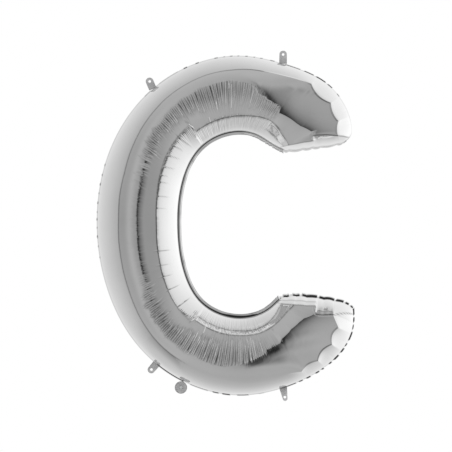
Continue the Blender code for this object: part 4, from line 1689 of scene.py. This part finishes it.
def studio_world():
    """A soft white tent round the balloon, as its foil shows it.

    A direction is read as the slope of a surface that mirrors it to the front: sideways slope
    p = x / (1 - y) and upward slope q = z / (1 - y). Slopes inside an oval are the tent's grey
    front wall, with the dark gap that the picture is taken through in its middle, a shadow on
    the gap's right, a lighter stripe on its left, and lighter patches above and below it on the
    right. Slopes outside are the tent's bright sides, with a darker seam between.
    """
    look = bpy.context.scene.balloon_studio
    world = bpy.data.worlds.new("studio_tent")
    world.use_nodes = True
    wires = Wires(world.node_tree)
    world.node_tree.nodes.clear()
    split = wires.node("ShaderNodeSeparateXYZ")
    wires.link(wires.coordinates("Generated"), split.inputs[0])
    x, y, z = (Value(wires, socket) for socket in split.outputs)
    p, q = (way / (1.0 - y).at_least(LEAST) for way in (x, z))
    left, right, up, down = (slope.at_least(0.0) for slope in (-p, p, q, -q))
    around = wires.math("SQRT", x * x + z * z).at_least(LEAST_WAY)
    sideways, upwards = x / around, z / around

    left_reach = OVAL_LEFT - OVAL_DRAWN_IN * wires.math("MINIMUM", up, 1.0)
    reaches = (left_reach, OVAL_RIGHT, OVAL_UP, OVAL_DOWN)
    powers = [(slope / reach) ** OVAL_POWER for slope, reach in zip((left, right, up, down), reaches)]
    past = (powers[0] + powers[1] + powers[2] + powers[3]) ** (1 / OVAL_POWER) - 1.0
    underfoot = (-upwards).ramp(*UNDERFOOT)
    soft = underfoot.mix(*EDGE_SOFTNESS)
    outside = past.ramp(soft * -0.5, soft)
    grey = outside.mix(front_wall(left, right, up, down), tent_sides(sideways, upwards, past))

    seam = past.bell(SEAM_WIDTH) * x.ramp(*SEAM_CHANGE, SEAM_LEFT, SEAM_RIGHT) * (1.0 - underfoot)
    gap = p.bell(look.gap_width) * q.bell(look.gap_height) * GAP_DARKNESS
    shadow = (1.0 - p.ramp(*SHADOW_END)) * p.ramp(*SHADOW_BEGIN) * q.bell(SHADOW_HEIGHT)
    behind = around / (1.0 + y).at_least(LEAST)
    back_gap = behind.bell(BACK_GAP_WIDTH) * BACK_GAP_DARKNESS
    for dark in (seam, gap, shadow * SHADOW_DARKNESS, back_gap):
        grey = grey * (1.0 - dark)

    seen = Value(wires, wires.node("ShaderNodeLightPath").outputs["Is Camera Ray"])
    light = wires.node("ShaderNodeBackground")
    wires.link(seen.mix(grey * look.tent_strength, 1.0), light.inputs["Strength"])
    light.inputs["Color"].default_value = (1, 1, 1, 1)
    out = wires.node("ShaderNodeOutputWorld")
    wires.link(light.outputs[0], out.inputs[0])
    return world


FLOOR_LEVEL = -0.80
FLOOR_RADIUS = 1.6
FLOOR_FADE = 0.9  # distance from the middle from which the floor fades into the white
FLOOR_GREYS = ((0.86, 0.86, 0.86), (0.90, 0.90, 0.90))
FLOOR_RINGS, FLOOR_SPOKES = 25, 96


def pale_floor():
    """A round pale floor below the balloon that fades into the white of the tent."""
    rings = np.linspace(0, 1, FLOOR_RINGS)[:, None]
    turns = np.linspace(0, 2 * math.pi, FLOOR_SPOKES + 1)[None, :-1]
    ground = np.stack([np.cos(turns) * rings, np.sin(turns) * rings], -1) * FLOOR_RADIUS
    points = np.concatenate([ground, np.full(ground.shape[:2] + (1,), FLOOR_LEVEL)], -1)
    mesh = grid_mesh("pale_floor", points, turned=False, ring=True)
    floor = bpy.data.objects.new("pale_floor", mesh)
    made, wires, shader = principled("pale_floor")
    cloud = noise(wires, 3.0).ramp(*NOISE_BAND)
    wires.link(colour_mix(wires, cloud, *FLOOR_GREYS), shader.inputs["Base Color"])
    shader.inputs["Roughness"].default_value = 0.7
    reach = wires.node("ShaderNodeVectorMath", operation="LENGTH")
    wires.link(wires.coordinates("Object"), reach.inputs[0])
    fade = Value(wires, reach.outputs["Value"]).ramp(FLOOR_FADE, FLOOR_RADIUS)
    glow = wires.node("ShaderNodeEmission")
    glow.inputs["Strength"].default_value = 1.0
    blend = wires.node("ShaderNodeMixShader")
    for source, target in zip((fade, shader.outputs[0], glow.outputs[0]), blend.inputs):
        wires.link(source, target)
    out = made.node_tree.nodes["Material Output"]
    wires.link(blend.outputs[0], out.inputs["Surface"])
    mesh.materials.append(made)
    bpy.context.scene.collection.objects.link(floor)
    floor.visible_glossy = False


def soft_light(name, place, size, power):
    """An area light that points at the letter's centre and stays out of its reflections."""
    data = bpy.data.lights.new(name, "AREA")
    data.size = size
    data.energy = power
    lamp = bpy.data.objects.new(name, data)
    bpy.context.scene.collection.objects.link(lamp)
    x, y, z = place
    lamp.location = place
    lamp.rotation_euler = (math.atan2(math.hypot(x, y), z), 0, math.atan2(x, -y))
    lamp.visible_glossy = False


class FoilSettings(bpy.types.PropertyGroup):
    """Sizes and finish of the foil."""

    comb_spacing: FloatProperty(
        name="Crease spacing", description="Distance between fine creases",
        default=0.0050, unit="LENGTH",
    )
    comb_width: FloatProperty(
        name="Crease width", description="Half width of a fine crease",
        default=0.0011, unit="LENGTH",
    )
    comb_depth: FloatProperty(
        name="Crease depth", description="Height of a fine crease", default=0.0015, unit="LENGTH"
    )
    wave_depth: FloatProperty(
        name="Wave depth", description="Height of the long soft waves",
        default=0.00012, unit="LENGTH",
    )
    pucker_depth: FloatProperty(
        name="Pucker depth", description="Depth of the short puckers along the welds",
        default=0.0012, unit="LENGTH",
    )
    foil_brightness: FloatProperty(
        name="Brightness", description="Reflectance of the foil",
        default=0.92, min=0, max=1, subtype="FACTOR",
    )
    foil_tint: FloatVectorProperty(
        name="Tint", description="Colour of the foil",
        default=(1.0, 1.0, 1.0), size=3, subtype="COLOR",
    )
    gloss: FloatProperty(
        name="Roughness", description="Least roughness of the foil",
        default=0.035, min=0, max=1, subtype="FACTOR",
    )
    seed: IntProperty(name="Seed", description="First random seed of the creases", default=7)

    @property
    def foil_colour(self):
        """The tint, as bright as the foil is."""
        return np.array(self.foil_tint) * self.foil_brightness


class StudioSettings(bpy.types.PropertyGroup):
    """The tent and the camera."""

    gap_width: FloatProperty(
        name="Gap width", description="Half width of the tent's dark gap, as a slope", default=0.030
    )
    gap_height: FloatProperty(
        name="Gap height", description="Half height of the tent's dark gap, as a slope",
        default=0.085,
    )
    tent_strength: FloatProperty(
        name="Tent", description="Brightness of the tent", default=1.09, min=0
    )
    camera_distance: FloatProperty(
        name="Camera distance", description="From the seam to the camera",
        default=14.0, unit="LENGTH",
    )
    view_width: FloatProperty(
        name="View width", description="Width of the picture at the seam",
        default=1.1752, unit="LENGTH",
    )
    view_middle: FloatVectorProperty(
        name="View middle", description="X and Z of the picture's middle",
        default=(-0.0377, -0.0013), size=2, unit="LENGTH",
    )


BACK_SEED = 100  # added to the seed for the creases of the back foil


class BALLOON_OT_front_foil(bpy.types.Operator):
    """Make the front foil, which takes the place of the plain front panel"""

    bl_idname = "balloon.front_foil"
    bl_label = "Front foil"

    def execute(self, context):
        seed = context.scene.balloon_foil.seed
        creases = FRONT_CREASES, front_shade_painted_creases()
        piece = foil_sheet("front_foil", -1, seed, *creases, finish_of("creased_silver_foil"))
        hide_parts("front_panel")
        return {"FINISHED"}


class BALLOON_OT_back_foil(bpy.types.Operator):
    """Make the back foil, which is cut like the front one and creases in its own way"""

    bl_idname = "balloon.back_foil"
    bl_label = "Back foil"

    def execute(self, context):
        seed = context.scene.balloon_foil.seed + BACK_SEED
        creases = FRONT_CREASES[::2], SHADE_PAINTED_CREASES[::2]
        piece = foil_sheet("back_foil", 1, seed, *creases, finish_of("creased_silver_foil"))
        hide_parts("back_panel")
        return {"FINISHED"}


class BALLOON_OT_welds(bpy.types.Operator):
    """Make the four stretches of the flat weld"""

    bl_idname = "balloon.welds"
    bl_label = "Welds"

    def execute(self, context):
        pieces = weld_strips(finish_of("pressed_weld_foil"))
        nodes = ("outer_seam", "inner_seam", "upper_end_seam", "lower_end_seam")
        for piece, node in zip(pieces, nodes):
            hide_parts(node)
        return {"FINISHED"}


class BALLOON_OT_tabs(bpy.types.Operator):
    """Make the four punched tabs"""

    bl_idname = "balloon.tabs"
    bl_label = "Hanging tabs"

    def execute(self, context):
        nodes = ("tab_upper_left", "tab_upper_right", "tab_lower_left", "tab_lower_right")
        for piece, node in zip(hanging_tabs(finish_of("satin_tab_foil")), nodes):
            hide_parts(node)
        return {"FINISHED"}


class BALLOON_OT_neck(bpy.types.Operator):
    """Make the inflation neck and the end of the valve's sleeve"""

    bl_idname = "balloon.neck"
    bl_label = "Inflation neck"

    def execute(self, context):
        front, back, sleeve = inflation_neck(finish_of("satin_tab_foil"), finish_of("milky_valve_film"))
        for piece, node in ((front, "valve_neck_front"), (back, "valve_neck_back"), (sleeve, "valve_film")):
            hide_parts(node)
        return {"FINISHED"}


class BALLOON_OT_declare_sheets(bpy.types.Operator):
    """Gather the welds and the tabs, and do nothing more with them"""

    bl_idname = "balloon.declare_sheets"
    bl_label = "Flat sizes"

    def execute(self, context):
        objects = bpy.data.objects
        rim = [objects[n] for n in ("outer_weld", "inner_weld", "upper_end_weld", "lower_end_weld")]
        rim += [objects[row[0]] for row in TABS]
        return {"FINISHED"}


# Lights. Columns: name, place, size, power in watts.
LIGHTS = (
    ("key_light", (-2.2, -2.6, 2.4), 2.0, 60.0),
    ("fill_light", (2.6, -1.2, 1.6), 2.0, 35.0),
)
SENSOR_WIDTH = 36.0  # of the camera, in millimetres


class BALLOON_OT_studio(bpy.types.Operator):
    """Set the tent, the floor, the lights and the camera"""

    bl_idname = "balloon.studio"
    bl_label = "Studio"

    def execute(self, context):
        look = context.scene.balloon_studio
        context.scene.world = studio_world()
        context.scene.view_settings.view_transform = "Standard"
        pale_floor()
        for row in LIGHTS:
            soft_light(*row)
        data = bpy.data.cameras.new("camera")
        data.sensor_width = SENSOR_WIDTH
        data.lens = SENSOR_WIDTH * look.camera_distance / look.view_width
        data.clip_end = 4 * look.camera_distance
        camera = bpy.data.objects.new("camera", data)
        context.scene.collection.objects.link(camera)
        middle_x, middle_z = look.view_middle
        camera.location = (middle_x, -look.camera_distance, middle_z)
        camera.rotation_euler = (math.pi / 2, 0, 0)
        context.scene.camera = camera
        return {"FINISHED"}


class BALLOON_PT_panel(bpy.types.Panel):
    """The settings of the foil and the studio, and a button for each step"""

    bl_idname = "BALLOON_PT_panel"
    bl_label = "Letter foil balloon"
    bl_space_type = "VIEW_3D"
    bl_region_type = "UI"
    bl_category = "Balloon"

    def draw(self, context):
        for group in (context.scene.balloon_foil, context.scene.balloon_studio):
            box = self.layout.box()
            for name in group.__annotations__:
                box.prop(group, name)
        for operator in OPERATORS:
            self.layout.operator(operator.bl_idname)


OPERATORS = (
    BALLOON_OT_front_foil,
    BALLOON_OT_back_foil,
    BALLOON_OT_welds,
    BALLOON_OT_tabs,
    BALLOON_OT_neck,
    BALLOON_OT_declare_sheets,
    BALLOON_OT_studio,
)
CLASSES = (FoilSettings, StudioSettings, *OPERATORS, BALLOON_PT_panel)


def register():
    for item in CLASSES:
        bpy.utils.register_class(item)
    bpy.types.Scene.balloon_foil = PointerProperty(type=FoilSettings)
    bpy.types.Scene.balloon_studio = PointerProperty(type=StudioSettings)


def unregister():
    del bpy.types.Scene.balloon_studio
    del bpy.types.Scene.balloon_foil
    for item in reversed(CLASSES):
        bpy.utils.unregister_class(item)


def main():
    """Makes the balloon and its studio."""
    register()
    bpy.ops.balloon.front_foil()
    bpy.ops.balloon.back_foil()
    bpy.ops.balloon.welds()
    bpy.ops.balloon.tabs()
    bpy.ops.balloon.neck()
    bpy.ops.balloon.declare_sheets()
    bpy.ops.balloon.studio()


if __name__ == "__main__":
    main()
